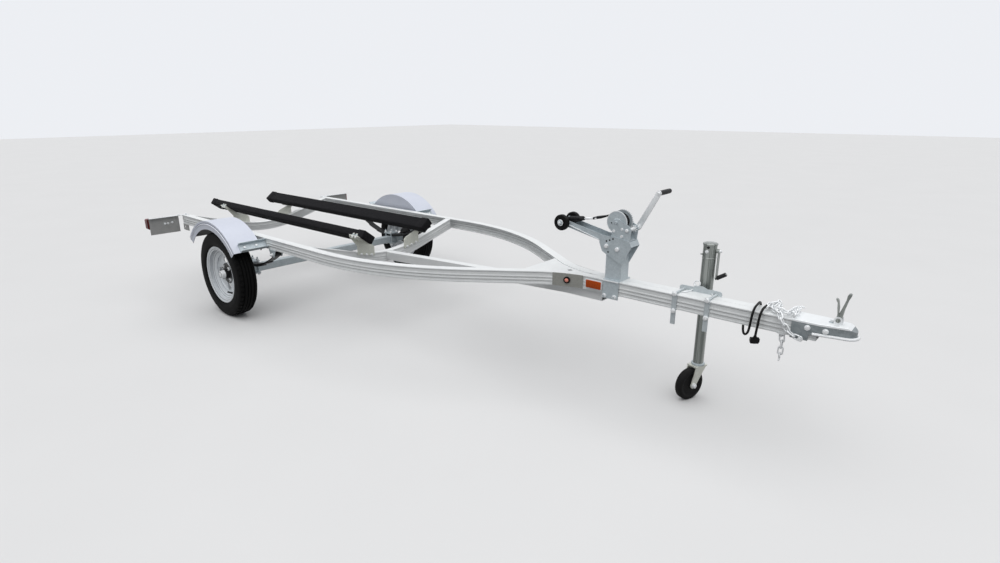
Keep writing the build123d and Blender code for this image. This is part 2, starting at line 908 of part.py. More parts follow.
# The ledge runs out past the board's lower edge, where its bolts stand
ledge_out = (
    under_outer[0] + bracket_ledge * math.cos(cant),
    under_outer[1] + bracket_ledge * math.sin(cant),
)
ledge_down = (bracket_gauge * math.sin(cant), bracket_gauge * math.cos(cant))
bolt_y = under_outer[0] + (bracket_ledge / 2 + 1) * math.cos(cant)
bolt_z = under_outer[1] + (bracket_ledge / 2 + 1) * math.sin(cant)
with BuildPart() as bunk_brackets_right:
    for x, way in ((vee_front_x, 1), (vee_rear_x - rail_flange, -1)):
        with BuildSketch(face_plane(x)):
            with BuildLine():
                Polyline(
                    (-ledge_out[0], ledge_out[1]),
                    (-under_inner[0], under_inner[1]),
                    (-bracket_inner - bracket_lap, bracket_head),
                    (-bracket_inner, bracket_head - bracket_lap),
                    (-bracket_inner, vee_top_z(bracket_inner) - bracket_lap),
                    (-bracket_outer, vee_top_z(bracket_outer) - bracket_lap),
                    (-bracket_outer, bracket_neck),
                    (-ledge_out[0] - ledge_down[0], ledge_out[1] - 4 * ledge_down[1]),
                    close=True,
                )
            make_face()
        extrude(amount=way * bracket_gauge)
        with BuildSketch(face_plane(x)):
            with BuildLine():
                Polyline(
                    (-ledge_out[0], ledge_out[1]),
                    (-under_inner[0], under_inner[1]),
                    (-under_inner[0] - ledge_down[0], under_inner[1] - ledge_down[1]),
                    (-ledge_out[0] - ledge_down[0], ledge_out[1] - ledge_down[1]),
                    close=True,
                )
            make_face()
        extrude(amount=way * bracket_reach)
        for along in bracket_bolts:
            with Locations(
                Plane(
                    origin=(axle_x + x + way * along, -bolt_y, bolt_z),
                    x_dir=(1, 0, 0),
                    z_dir=(0, math.sin(cant), math.cos(cant)),
                )
            ):
                Cylinder(bracket_bolt, 2 * bracket_bolt_tip)
keep(bunk_brackets_right, "bunk_brackets_right")
mirrored(bunk_brackets_right, "bunk_brackets_left")

# Winch post: two side plates clamped to the tongue, joined by the post's front web
post_front = post_back + post_length
boom_turn = math.radians(boom_slope)


def boom_z(x):
    # Height of the boom's middle line
    return roller_z + (x - roller_x) * math.tan(boom_turn)


# Outline of the head's cheeks, from the lower back corner round by the nose
head_top_back = boom_z(post_back - 31) + boom_depth / 2
head_shelf_front = (post_front + head_shelf[0], head_shelf[1])
head_nose_tip = (post_front + head_nose[0], head_nose[1])
head_outline = (
    (post_back + head_foot_back[0], head_foot_back[1]),
    (post_front, head_foot_front),
    head_nose_tip,
    head_shelf_front,
    (post_back + head_shelf_back[0], head_shelf_back[1]),
    (post_back - 31, head_top_back),
    (post_back - 37, head_top_back - boom_depth - 6),
)
with BuildPart() as winch_post:
    for side in (-1, 1):
        clamp_seat = side * (tongue_half + seat_gap + stand_plate / 2)
        with Locations((axle_x + post_back, clamp_seat, rail_top + stand_plate)):
            Box(
                post_length,
                stand_plate,
                stand_drop + stand_plate,
                align=(Align.MIN, Align.CENTER, Align.MAX),
            )
        post_y = post_outer if side > 0 else post_gauge - post_outer
        with BuildSketch(side_plane(post_y)):
            with BuildLine():
                Polyline(
                    (post_back, rail_top + seat_gap),
                    (post_front, rail_top + seat_gap),
                    (post_front, post_head - post_length / 4),
                    (post_back, post_head),
                    close=True,
                )
            make_face()
        extrude(amount=post_gauge)
    with Locations((axle_x + post_back, 0, rail_top + seat_gap)):
        Box(
            post_length,
            2 * (tongue_half + seat_gap + stand_plate),
            stand_plate,
            align=(Align.MIN, Align.CENTER, Align.MIN),
        )
    with Locations((axle_x + post_front, 0, rail_top + seat_gap)):
        Box(
            post_gauge,
            2 * post_outer,
            post_height,
            align=(Align.MAX, Align.CENTER, Align.MIN),
        )
    for x in stand_bolts:
        with Locations(
            Plane(
                origin=(axle_x + post_back + x, 0, rail_bottom - stand_bolt_radius - 2),
                z_dir=(0, 1, 0),
            )
        ):
            Cylinder(stand_bolt_radius, 2 * (tongue_half + stand_plate) + 20)
keep(winch_post, "winch_post")

inner_face = post_outer + seat_gap
with BuildPart() as winch_head:
    for side in (-1, 1):
        head_y = inner_face + head_gauge if side > 0 else -inner_face
        with BuildSketch(side_plane(head_y)):
            Polygon(*head_outline, align=None)
        extrude(amount=head_gauge)
    with BuildSketch(side_plane(inner_face)):
        Polygon(
            head_nose_tip,
            head_shelf_front,
            (head_shelf_front[0] - head_gauge, head_shelf_front[1] - head_gauge / 2),
            (head_nose_tip[0] - head_gauge, head_nose_tip[1] - head_gauge / 2),
            align=None,
        )
    extrude(amount=2 * inner_face)
keep(winch_head, "winch_head")

# Boom: an open channel from the head back to the rollers
boom_along = (math.cos(boom_turn), math.sin(boom_turn))
boom_tail = 20
boom_length = (boom_end - roller_x) / boom_along[0] + boom_tail
boom_plane = Plane(
    origin=(
        axle_x + roller_x - boom_tail * boom_along[0],
        0,
        roller_z - boom_tail * boom_along[1],
    ),
    x_dir=(0, 1, 0),
    z_dir=(boom_along[0], 0, boom_along[1]),
)
with BuildPart() as winch_boom:
    with BuildSketch(boom_plane):
        Rectangle(2 * post_outer, boom_depth)
        with Locations((0, boom_gauge)):
            Rectangle(2 * (post_outer - boom_gauge), boom_depth, mode=Mode.SUBTRACT)
    extrude(amount=boom_length)
    with Locations(Plane(origin=(axle_x + roller_x, 0, roller_z), z_dir=(0, 1, 0))):
        Cylinder(shaft_radius + pin_gap, 4 * post_outer, mode=Mode.SUBTRACT)
keep(winch_boom, "winch_boom")

roller_axis = Plane(origin=(axle_x + roller_x, 0, roller_z), z_dir=(0, 1, 0))
with BuildPart() as roller_shaft:
    with Locations(roller_axis):
        Cylinder(shaft_radius, 2 * (roller_inner + roller_width + 6))
    for side in (-1, 1):
        with Locations(roller_axis.offset(side * (roller_inner + roller_width + 3.5))):
            Cylinder(shaft_radius + 4, 5)
keep(roller_shaft, "roller_shaft")

for side, word in ((1, "left"), (-1, "right")):
    with BuildPart() as roller:
        with Locations(roller_axis.offset(side * (roller_inner + roller_width / 2))):
            Cylinder(roller_radius, roller_width)
            chamfer(roller.edges(), roller_width / 6)
            Cylinder(shaft_radius + pin_gap, 2 * roller_width, mode=Mode.SUBTRACT)
    keep(roller, f"bow_roller_{word}")

# Winch: the pinion stands off the drum by both pitch radii
drum_axis = Plane(origin=(axle_x + drum_x, 0, drum_z), z_dir=(0, 1, 0))
pinion_radius = drum_radius / gear_ratio
gear_reach = drum_radius + pinion_radius + 0.5
pinion_x = drum_x + gear_reach * math.cos(math.radians(pinion_turn))
pinion_z = drum_z + gear_reach * math.sin(math.radians(pinion_turn))
crank_axis = Plane(origin=(axle_x + pinion_x, 0, pinion_z), z_dir=(0, 1, 0))
base_back = (post_back + head_shelf_back[0] + 2, head_shelf_back[1] + seat_gap)
base_front = (post_front + head_shelf[0] - 2, head_shelf[1] + seat_gap)

with BuildPart() as winch_frame:
    with BuildSketch(side_plane(inner_face + head_gauge)):
        Polygon(
            base_back,
            base_front,
            (base_front[0], base_front[1] + winch_gauge),
            (base_back[0], base_back[1] + winch_gauge),
            align=None,
        )
    extrude(amount=2 * (inner_face + head_gauge))
    for side in (-1, 1):
        plate_y = winch_side + winch_gauge if side > 0 else -winch_side
        with BuildSketch(side_plane(plate_y)):
            with BuildLine():
                Polyline(
                    base_back,
                    base_front,
                    (pinion_x + 20, pinion_z + 4),
                    (pinion_x + 10, pinion_z + 18),
                    (drum_x + 12, drum_z + 14),
                    (drum_x - 14, drum_z + 10),
                    close=True,
                )
            make_face()
            with Locations((drum_x, drum_z), (pinion_x, pinion_z)):
                Circle(shaft_radius + pin_gap, mode=Mode.SUBTRACT)
        extrude(amount=winch_gauge)
keep(winch_frame, "winch_frame")

with BuildPart() as winch_drum:
    with Locations(drum_axis):
        Cylinder(shaft_radius, 2 * (winch_side + winch_gauge + 5))
        for y, thick in (
            (-drum_half + drum_plate / 2, drum_plate),
            (drum_half - gear_gauge / 2, gear_gauge),
        ):
            with Locations((0, 0, y)):
                Cylinder(drum_radius, thick)
        with PolarLocations(0.62 * drum_radius, 2, start_angle=60, angular_range=120):
            Cylinder(4, 4 * drum_half, mode=Mode.SUBTRACT)
keep(winch_drum, "winch_drum")

with BuildPart() as webbing_coil:
    with Locations(drum_axis.offset((drum_plate - gear_gauge) / 2)):
        coil_width = 2 * drum_half - drum_plate - gear_gauge - 2 * seat_gap
        Cylinder(coil_radius, coil_width)
        Cylinder(shaft_radius + seat_gap, 2 * coil_width, mode=Mode.SUBTRACT)
keep(webbing_coil, "webbing_coil")

# Crank: shaft with its pinion, flat lever, then the grip on the lever's end
crank_length = math.hypot(crank_reach_x, crank_reach_z)
crank_turn = math.degrees(math.atan2(crank_reach_z, crank_reach_x))
with BuildPart() as winch_crank:
    with Locations(crank_axis.offset((crank_y + crank_gauge - winch_side - winch_gauge - 4) / 2)):
        Cylinder(shaft_radius, crank_y + crank_gauge + winch_side + winch_gauge + 4)
    with Locations(crank_axis.offset(drum_half - gear_gauge / 2)):
        Cylinder(pinion_radius, gear_gauge)
    with BuildSketch(side_plane(crank_y + crank_gauge)):
        with Locations((pinion_x + crank_reach_x / 2, pinion_z + crank_reach_z / 2)):
            SlotCenterToCenter(crank_length, crank_width, rotation=crank_turn)
    extrude(amount=crank_gauge)
keep(winch_crank, "winch_crank")

grip_axis = Plane(
    origin=(axle_x + pinion_x + crank_reach_x, 0, pinion_z + crank_reach_z), z_dir=(0, 1, 0)
)
with BuildPart() as crank_grip:
    with Locations(grip_axis.offset(crank_y + crank_gauge + grip_length / 2)):
        Cylinder(grip_radius, grip_length)
        chamfer(crank_grip.edges(), 3)
keep(crank_grip, "crank_grip")

# Strap: from the hook up to the coil, then a short loop from the hook to the roller shaft
strap_rise = math.asin(coil_radius / math.hypot(drum_x - hook_front, drum_z - hook_front_z))
strap_rise += math.atan2(drum_z - hook_front_z, drum_x - hook_front)
strap_run = math.sqrt((drum_x - hook_front) ** 2 + (drum_z - hook_front_z) ** 2 - coil_radius**2)
strap_run_end = (
    hook_front + strap_run * math.cos(strap_rise),
    hook_front_z + strap_run * math.sin(strap_rise),
)
with BuildPart() as winch_strap:
    with BuildSketch(side_plane(strap_width / 2)):
        with BuildLine():
            Polyline(
                (hook_front, hook_front_z + seat_gap),
                (strap_run_end[0], strap_run_end[1] + seat_gap),
                (strap_run_end[0] - 1, strap_run_end[1] + seat_gap + strap_gauge),
                (hook_front - 1, hook_front_z + seat_gap + strap_gauge),
                close=True,
            )
        make_face()
        with BuildLine():
            Polyline(
                (roller_x + 5, roller_z + shaft_radius + pin_gap),
                (hook_back, hook_back_z + seat_gap),
                (hook_back, hook_back_z + seat_gap + strap_gauge),
                (roller_x + 5, roller_z + shaft_radius + pin_gap + 2 * strap_gauge),
                close=True,
            )
        make_face()
        with Locations((roller_x, roller_z)):
            Circle(shaft_radius + pin_gap + strap_gauge)
            Circle(shaft_radius + pin_gap, mode=Mode.SUBTRACT)
    extrude(amount=strap_width)
keep(winch_strap, "winch_strap")

with BuildPart() as strap_hook:
    hook_rise = math.atan2(hook_front_z - hook_back_z, hook_front - hook_back)
    hook_length = (hook_front - hook_back) / math.cos(hook_rise) - 4 * seat_gap
    with BuildSketch(
        Plane(
            origin=(
                axle_x + (hook_back + hook_front) / 2,
                0,
                (hook_back_z + hook_front_z + strap_gauge) / 2,
            ),
            x_dir=(math.cos(hook_rise), 0, math.sin(hook_rise)),
            z_dir=(-math.sin(hook_rise), 0, math.cos(hook_rise)),
        )
    ):
        SlotOverall(hook_length, strap_width - 14)
        SlotOverall(hook_length - 18, strap_width - 32, mode=Mode.SUBTRACT)
    extrude(amount=hook_gauge / 2, both=True)
keep(strap_hook, "strap_hook")

# Jack mount: plate on the tongue's left side, two straps on its right, bolts over and under
with BuildPart() as jack_mount:
    with BuildSketch(side_plane(tongue_half + seat_gap + mount_gauge)):
        with Locations((jack_x, (rail_top + rail_bottom) / 2)):
            RectangleRounded(2 * mount_half, rail_height + 2 * mount_overlap, mount_corner)
            with Locations((0, mount_bulge_up)):
                Circle(mount_bulge)
    extrude(amount=mount_gauge)
    for side in (-1, 1):
        strap_x = jack_x + side * mount_pitch / 2
        with BuildSketch(side_plane(-tongue_half - seat_gap)):
            with Locations((strap_x, rail_top + mount_bulge_up)):
                Rectangle(
                    mount_strap,
                    rail_height + mount_bulge_up + mount_strap_drop,
                    align=(Align.CENTER, Align.MAX),
                )
        extrude(amount=mount_gauge)
        for z in (rail_top + mount_bolt_off, rail_bottom - mount_bolt_off):
            with Locations(Plane(origin=(axle_x + strap_x, 0, z), z_dir=(0, 1, 0))):
                Cylinder(
                    mount_bolt_radius,
                    2 * (tongue_half + mount_gauge + mount_bolt_tail),
                )
    with Locations(
        Plane(
            origin=(axle_x + jack_x, tongue_half + seat_gap + mount_gauge, swivel_z),
            z_dir=(0, 1, 0),
        )
    ):
        Cylinder(
            swivel_radius,
            jack_y - jack_radius - tongue_half - mount_gauge - 2 * seat_gap + 1,
            align=(Align.CENTER, Align.CENTER, Align.MIN),
        )
    with Locations((axle_x + jack_x, jack_y, swivel_z)):
        Cylinder(jack_radius + mount_gauge, mount_sleeve)
        Cylinder(jack_radius + seat_gap, 2 * mount_sleeve, mode=Mode.SUBTRACT)
keep(jack_mount, "jack_mount")

with BuildPart() as jack_tube:
    with Locations((axle_x + jack_x, jack_y, jack_bottom)):
        Cylinder(
            jack_radius, jack_top - jack_bottom, align=(Align.CENTER, Align.CENTER, Align.MIN)
        )
        Cylinder(
            jack_inner_radius + pin_gap,
            jack_top - jack_bottom - jack_gauge,
            align=(Align.CENTER, Align.CENTER, Align.MIN),
            mode=Mode.SUBTRACT,
        )
    with Locations((axle_x + jack_x, jack_y, jack_top)):
        Cylinder(jack_radius + 2.5, 3, align=(Align.CENTER, Align.CENTER, Align.MIN))
keep(jack_tube, "jack_tube")

with BuildPart() as jack_crank:
    crank_face = jack_x + jack_radius + seat_gap
    with Locations(Plane(origin=(axle_x + crank_face, jack_y, jack_crank_z), z_dir=(1, 0, 0))):
        Cylinder(9, jack_crank_hub, align=(Align.CENTER, Align.CENTER, Align.MIN))
    with BuildSketch(face_plane(crank_face + jack_crank_hub)):
        with Locations((jack_y, jack_crank_z - jack_crank_drop / 2)):
            SlotCenterToCenter(jack_crank_drop, 18, rotation=90)
    extrude(amount=mount_gauge)
keep(jack_crank, "jack_crank")

with BuildPart() as jack_grip:
    with Locations(
        Plane(
            origin=(
                axle_x + crank_face + jack_crank_hub + mount_gauge + seat_gap,
                jack_y,
                jack_crank_z - jack_crank_drop,
            ),
            z_dir=(1, 0, 0),
        )
    ):
        Cylinder(
            jack_grip_radius, jack_grip_length, align=(Align.CENTER, Align.CENTER, Align.MIN)
        )
        chamfer(jack_grip.edges(), 2)
keep(jack_grip, "jack_grip")

with BuildPart() as jack_leg:
    with Locations((axle_x + jack_x, jack_y, jack_inner_foot)):
        Cylinder(
            jack_inner_radius,
            jack_inner_head - jack_inner_foot,
            align=(Align.CENTER, Align.CENTER, Align.MIN),
        )
        Cylinder(
            king_pin_radius + pin_gap,
            jack_plug - 6,
            align=(Align.CENTER, Align.CENTER, Align.MIN),
            mode=Mode.SUBTRACT,
        )
    with Locations((axle_x + jack_x, jack_y, jack_inner_foot + jack_plug)):
        Cylinder(
            jack_inner_radius - jack_inner_gauge,
            jack_inner_head,
            align=(Align.CENTER, Align.CENTER, Align.MIN),
            mode=Mode.SUBTRACT,
        )
keep(jack_leg, "jack_leg")

# Caster: yoke and wheel, turned as they stand; the wheel trails the leg
trail_turn = math.radians(180 + caster_turn)
trail_dir = (math.cos(trail_turn), math.sin(trail_turn), 0)
axle_dir = (-trail_dir[1], trail_dir[0], 0)
caster_centre = (
    axle_x + jack_x + caster_trail * trail_dir[0],
    jack_y + caster_trail * trail_dir[1],
    caster_radius,
)
yoke_top = jack_inner_foot - seat_gap
yoke_inside = caster_width / 2 + yoke_gap
with BuildPart() as caster_yoke:
    with BuildSketch(
        Plane(origin=(axle_x + jack_x, jack_y, yoke_top - yoke_plate), x_dir=trail_dir)
    ):
        with Locations((4, 0)):
            Rectangle(2 * yoke_plate_half + 8, 2 * (yoke_inside + yoke_gauge))
    extrude(amount=yoke_plate)
    for side in (-1, 1):
        with BuildSketch(
            Plane(
                origin=Vector(axle_x + jack_x, jack_y, 0)
                + Vector(*axle_dir) * (side * (yoke_inside + yoke_gauge / 2)),
                x_dir=trail_dir,
                z_dir=[-part for part in axle_dir],
            )
        ):
            with BuildLine():
                Polyline(
                    (-yoke_plate_half + 8, yoke_top - yoke_plate),
                    (yoke_plate_half + 6, yoke_top - yoke_plate),
                    (caster_trail + 15, caster_radius),
                    (caster_trail - 13, caster_radius - 6),
                    close=True,
                )
            make_face()
            with Locations((caster_trail, caster_radius)):
                Circle(15)
        extrude(amount=yoke_gauge / 2, both=True)
    with Locations(Plane(origin=caster_centre, z_dir=axle_dir)):
        Cylinder(caster_pin_radius, 2 * (yoke_inside + yoke_gauge + 5))
    with Locations((axle_x + jack_x, jack_y, yoke_top - yoke_plate)):
        Cylinder(
            king_pin_radius,
            yoke_plate + jack_plug - 8,
            align=(Align.CENTER, Align.CENTER, Align.MIN),
        )
keep(caster_yoke, "caster_yoke")

with BuildPart() as caster_wheel:
    with Locations(Plane(origin=caster_centre, z_dir=axle_dir)):
        Cylinder(caster_radius, caster_width)
        chamfer(caster_wheel.edges(), caster_width / 6)
        Cylinder(caster_pin_radius + pin_gap, 2 * caster_width, mode=Mode.SUBTRACT)
keep(caster_wheel, "caster_wheel")

# Coupler: a channel over the tongue that narrows to the round ball housing
coupler_half = tongue_half + seat_gap + coupler_gauge
coupler_foot = rail_top - coupler_drop


def coupler_outline(inset):
    # Plan of the coupler, drawn inset from its outer faces
    nose = nose_outer - inset
    with BuildLine() as outline:
        sides = Polyline(
            (ball_x, -nose),
            (coupler_shoulder, inset - coupler_half),
            (coupler_back, inset - coupler_half),
            (coupler_back, coupler_half - inset),
            (coupler_shoulder, coupler_half - inset),
            (ball_x, nose),
        )
        ThreePointArc(sides @ 1, (ball_x + nose, 0), sides @ 0)
    return outline.edges()


with BuildPart() as coupler:
    with BuildSketch(plan_plane(coupler_foot)):
        make_face(coupler_outline(-coupler_lip))
        make_face(coupler_outline(coupler_gauge), mode=Mode.SUBTRACT)
    extrude(amount=coupler_gauge)
    with Locations((axle_x + coupler_back, 0, coupler_foot)):
        Box(
            coupler_shoulder - coupler_back - 30,
            4 * coupler_half,
            4 * coupler_gauge,
            align=(Align.MIN, Align.CENTER, Align.CENTER),
            mode=Mode.SUBTRACT,
        )
    with BuildSketch(plan_plane(coupler_foot)):
        make_face(coupler_outline(0))
        make_face(coupler_outline(coupler_gauge), mode=Mode.SUBTRACT)
    extrude(amount=coupler_drop + seat_gap)
    with BuildSketch(plan_plane(rail_top + seat_gap)):
        make_face(coupler_outline(0))
    extrude(amount=coupler_gauge)
    fillet(coupler.faces().sort_by(Axis.Z)[-1].edges(), coupler_gauge / 2)
    for side in (-1, 1):
        with Locations(
            (
                axle_x + coupler_back,
                side * (coupler_half - coupler_gauge / 2),
                rail_top,
            )
        ):
            Box(
                (coupler_shoulder - coupler_back) * 0.65,
                coupler_gauge,
                coupler_skirt,
                align=(Align.MIN, Align.CENTER, Align.MAX),
            )
    with Locations((axle_x + ball_x, 0, coupler_foot)):
        Cylinder(
            nose_outer - coupler_gauge / 2,
            coupler_drop,
            align=(Align.CENTER, Align.CENTER, Align.MIN),
        )
        Cylinder(
            ball_bore,
            2 * (ball_z - coupler_foot),
            mode=Mode.SUBTRACT,
        )
    # The nose slopes down ahead of the ball
    with BuildSketch(side_plane(coupler_half)):
        with BuildLine():
            Polyline(
                (ball_x + nose_slope_from, rail_top + coupler_gauge + 1),
                (ball_x + 2 * nose_outer, rail_top + coupler_gauge + 1),
                (ball_x + 2 * nose_outer, rail_top - nose_fall * 2),
                (ball_x + nose_outer, rail_top - nose_fall),
                close=True,
            )
        make_face()
    extrude(amount=2 * coupler_half, mode=Mode.SUBTRACT)
    with Locations((axle_x + ball_x, 0, ball_z)):
        Sphere(ball_bore, mode=Mode.SUBTRACT)
    for side in (-1, 1):
        ear_y = side * (latch_width / 2 + 0.5 + latch_ear / 2)
        with BuildSketch(side_plane(ear_y + latch_ear / 2)):
            with Locations((latch_x, rail_top + coupler_gauge)):
                Rectangle(26, latch_z - rail_top - coupler_gauge, align=(Align.CENTER, Align.MIN))
            with Locations((latch_x, latch_z)):
                Circle(13)
                Circle(latch_pin_radius + pin_gap, mode=Mode.SUBTRACT)
        extrude(amount=latch_ear)
keep(coupler, "coupler")

# Latch: raised lever on a pin between the ears, with its trigger behind it
lean = math.radians(latch_lean)
with BuildPart() as coupler_latch:
    with BuildSketch(side_plane(latch_width / 2)):
        with Locations(
            (
                latch_x + latch_reach / 2 * math.sin(lean),
                latch_z + latch_reach / 2 * math.cos(lean),
            )
        ):
            SlotCenterToCenter(latch_reach, 2 * latch_gauge, rotation=90 - latch_lean)
        with Locations((latch_x - 9, latch_z + 45)):
            SlotCenterToCenter(64, latch_gauge, rotation=92)
        with Locations((latch_x - 3, latch_z + 16)):
            Rectangle(16, latch_gauge)
    extrude(amount=latch_width)
    with Locations(Plane(origin=(axle_x + latch_x, 0, latch_z), z_dir=(0, 1, 0))):
        Cylinder(latch_pin_radius, latch_width + 2 * latch_ear + 8)
keep(coupler_latch, "coupler_latch")

# Safety chains. Each link is drawn flat between two contacts and turned a quarter from the last.


def contacts(route):
    # Points a pitch apart along the route, the first behind its pin
    points = [Vector(axle_x + x, y, z) for x, y, z in route]
    start = points[0] - (points[1] - points[0]).normalized() * chain_pin
    points[0] = start
    found = [start]
    for first, second in zip(points, points[1:]):
        steps = math.ceil((second - first).length)
        for step in range(1, steps + 1):
            place = first + (second - first) * (step / steps)
            if (place - found[-1]).length >= chain_pitch:
                way = (place - found[-1]).normalized()
                found.append(found[-1] + way * chain_pitch)
    return found


def quarter_turns(found):
    # For each link its middle, its direction and the normal of its plane
    normal = Vector(0, 1, 0)
    links = []
    for first, second in zip(found, found[1:]):
        way = (second - first).normalized()
        normal = (normal - way * normal.dot(way)).normalized()
        links.append(((first + second) * 0.5, way, normal))
        normal = way.cross(normal)
    return links


def link_outline(half_length, radius):
    # A long ring's edge with ends of four straight sides
    ends = []
    for middle, first in ((half_length - radius, -90), (radius - half_length, 90)):
        for step in range(5):
            angle = math.radians(first + 45 * step)
            ends.append((middle + radius * math.cos(angle), radius * math.sin(angle)))
    return ends


def hook_outline():
    # An S hook as a ribbon about its middle line, hung from the top bend's inside
    middle = []
    for step in range(9):
        angle = math.radians(170 - step * 32.5)
        middle.append((hook_bend * math.cos(angle), hook_bend * (1 + math.sin(angle))))
    for step in range(1, 9):
        angle = math.radians(90 + step * 31.25)
        middle.append((hook_bend * math.cos(angle), hook_bend * (math.sin(angle) - 1)))
    inside = []
    outside = []
    for place, (x, y) in enumerate(middle):
        before = middle[max(place - 1, 0)]
        after = middle[min(place + 1, len(middle) - 1)]
        span = math.hypot(after[0] - before[0], after[1] - before[1])
        across = ((before[1] - after[1]) / span, (after[0] - before[0]) / span)
        inside.append((x + across[0] * hook_bar / 2, y + across[1] * hook_bar / 2))
        outside.append((x - across[0] * hook_bar / 2, y - across[1] * hook_bar / 2))
    return inside + outside[::-1]


ring_outer = link_outline(
    (chain_pitch + chain_slack) / 2 + chain_bar, chain_inside / 2 + chain_bar
)
ring_inner = link_outline((chain_pitch + chain_slack) / 2, chain_inside / 2)
with BuildPart() as safety_chains:
    for route in (chain_right_route, chain_left_route, chain_short_route):
        found = contacts(route)
        links = quarter_turns(found)
        for middle, way, normal in links:
            with BuildSketch(Plane(origin=middle, x_dir=way, z_dir=normal)):
                Polygon(*ring_outer, align=None)
                Polygon(*ring_inner, align=None, mode=Mode.SUBTRACT)
            extrude(amount=chain_bar / 2, both=True)
        way, normal = links[-1][1], links[-1][2]
        hook_middle = found[-1] + way * (2 * hook_bend - hook_bar / 2 - chain_slack / 2)
        with BuildSketch(
            Plane(origin=hook_middle, x_dir=normal, z_dir=normal.cross(way * -1))
        ):
            Polygon(*hook_outline(), align=None)
        extrude(amount=hook_bar / 2, both=True)
    # Pins on the coupler's skirts, and the eye under the tongue for the short chain
    for side in (-1, 1):
        pin_start = coupler_half + seat_gap
        with Locations(
            Plane(
                origin=(axle_x + chain_right_route[0][0], side * pin_start, chain_right_route[0][2]),
                z_dir=(0, side, 0),
            )
        ):
            Cylinder(
                chain_pin,
                2 * (chain_pin_y - pin_start),
                align=(Align.CENTER, Align.CENTER, Align.MIN),
            )
    eye_x, eye_y, eye_height = chain_short_route[0]
    for side in (-1, 1):
        with Locations(
            (axle_x + eye_x, eye_y + side * chain_inside, rail_bottom - seat_gap)
        ):
            Box(
                3 * chain_pin,
                chain_bar,
                rail_bottom - eye_height + 2 * chain_pin,
                align=(Align.CENTER, Align.CENTER, Align.MAX),
            )
    with Locations(Plane(origin=(axle_x + eye_x, eye_y, eye_height), z_dir=(0, 1, 0))):
        Cylinder(chain_pin, 2 * chain_inside + chain_bar)
keep(safety_chains, "safety_chains")

# Wiring cord: straight runs joined by arcs as wide as the shorter run allows
wire_points = [Vector(axle_x + x, y, z) for x, y, z in wire_route]
wire_radii = []
for before, here, after in zip(wire_points, wire_points[1:], wire_points[2:]):
    run_in_length = (here - before).length
    run_out_length = (after - here).length
    bend = math.radians((here - before).get_angle(after - here))
    wire_radii.append(0.45 * min(run_in_length, run_out_length) / math.tan(bend / 2))
print("wire radii", [round(radius, 1) for radius in wire_radii])
with BuildPart() as wiring_cord:
    with BuildLine():
        FilletPolyline(*wire_points, radius=wire_radii)
    first_run = (wire_points[1] - wire_points[0]).normalized()
    with BuildSketch(Plane(origin=wire_points[0], z_dir=first_run)):
        Circle(wire_radius)
    sweep()
keep(wiring_cord, "wiring_cord")

last_run = (wire_points[-1] - wire_points[-2]).normalized()
with BuildPart() as wiring_plug:
    with BuildSketch(Plane(origin=wire_points[-1] + last_run * seat_gap, z_dir=last_run)):
        RectangleRounded(plug_width, plug_depth, 3)
    extrude(amount=plug_length)
keep(wiring_plug, "wiring_plug")
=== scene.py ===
import json
from math import atan2, ceil, cos, degrees, hypot, pi, radians, sin, sqrt

import bpy
from mathutils import Euler, Matrix, Vector, noise


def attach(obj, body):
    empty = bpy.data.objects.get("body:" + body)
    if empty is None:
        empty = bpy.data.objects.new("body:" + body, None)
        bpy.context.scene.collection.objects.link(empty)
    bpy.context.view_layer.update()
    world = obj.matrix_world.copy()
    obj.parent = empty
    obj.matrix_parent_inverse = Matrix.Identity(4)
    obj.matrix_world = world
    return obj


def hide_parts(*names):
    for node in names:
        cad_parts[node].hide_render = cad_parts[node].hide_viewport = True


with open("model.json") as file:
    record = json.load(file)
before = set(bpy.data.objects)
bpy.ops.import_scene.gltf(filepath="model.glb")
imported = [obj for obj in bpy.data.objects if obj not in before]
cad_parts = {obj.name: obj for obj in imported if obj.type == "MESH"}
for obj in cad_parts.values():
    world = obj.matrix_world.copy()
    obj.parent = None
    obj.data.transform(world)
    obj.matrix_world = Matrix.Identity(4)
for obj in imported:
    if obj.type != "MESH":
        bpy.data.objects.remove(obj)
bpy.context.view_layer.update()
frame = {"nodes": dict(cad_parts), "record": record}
nodes = frame["nodes"]

bl_info = {
    "name": "Boat trailer",
    "version": (1, 0, 0),
    "blender": (4, 5, 0),
    "location": "View3D > Sidebar > Trailer",
    "description": "Dresses a single axle boat trailer and lights it",
    "category": "Object",
}


MM = 0.001
ROUND = 2 * pi
ORIGIN = Vector((0, 0, 0))
AHEAD, LEFT, UP = Vector((1, 0, 0)), Vector((0, 1, 0)), Vector((0, 0, 1))
SIDES = ((1, "left"), (-1, "right"))
SKY = 9.0  # a height above the whole trailer, in metres
AXLE_X = -1.065  # where the axle stands, in metres

# Places in millimetres ahead of the axle and up from the ground
AXLE = (0, 269)
FENDER = (-15, 233)
DRUM = (2347.124, 783.0)
PINION = (2403.19, 753.189)
PAWL = (2377, 756)
ROLLER = (2066.124, 751.0)
LEVER_END = (2489.19, 913.189)
# The jack, in millimetres ahead of the axle and to the left
JACK = (2722, 110)
# The fork's start ahead of the axle, the rails' middle height, and the outer face of the plates
FORK_X, RAIL_Z, PLATE_FACE = 2265.124, 482, 52.9
# A crossmember's top edge: an arc about a middle above it, then straight at the arc's last slope
DIP_MIDDLE, DIP_RADIUS, DIP_SLOPE = 1256, 868, radians(16)


def spot(x, y, z):
    """A point in metres from millimetres ahead of the axle, to the left and up."""
    return Vector((AXLE_X + x * MM, y * MM, z * MM))


def beside(place, y=0):
    """A point in metres from an (ahead, up) place, to the left of the trailer's middle."""
    return spot(place[0], y, place[1])


# Shader expressions


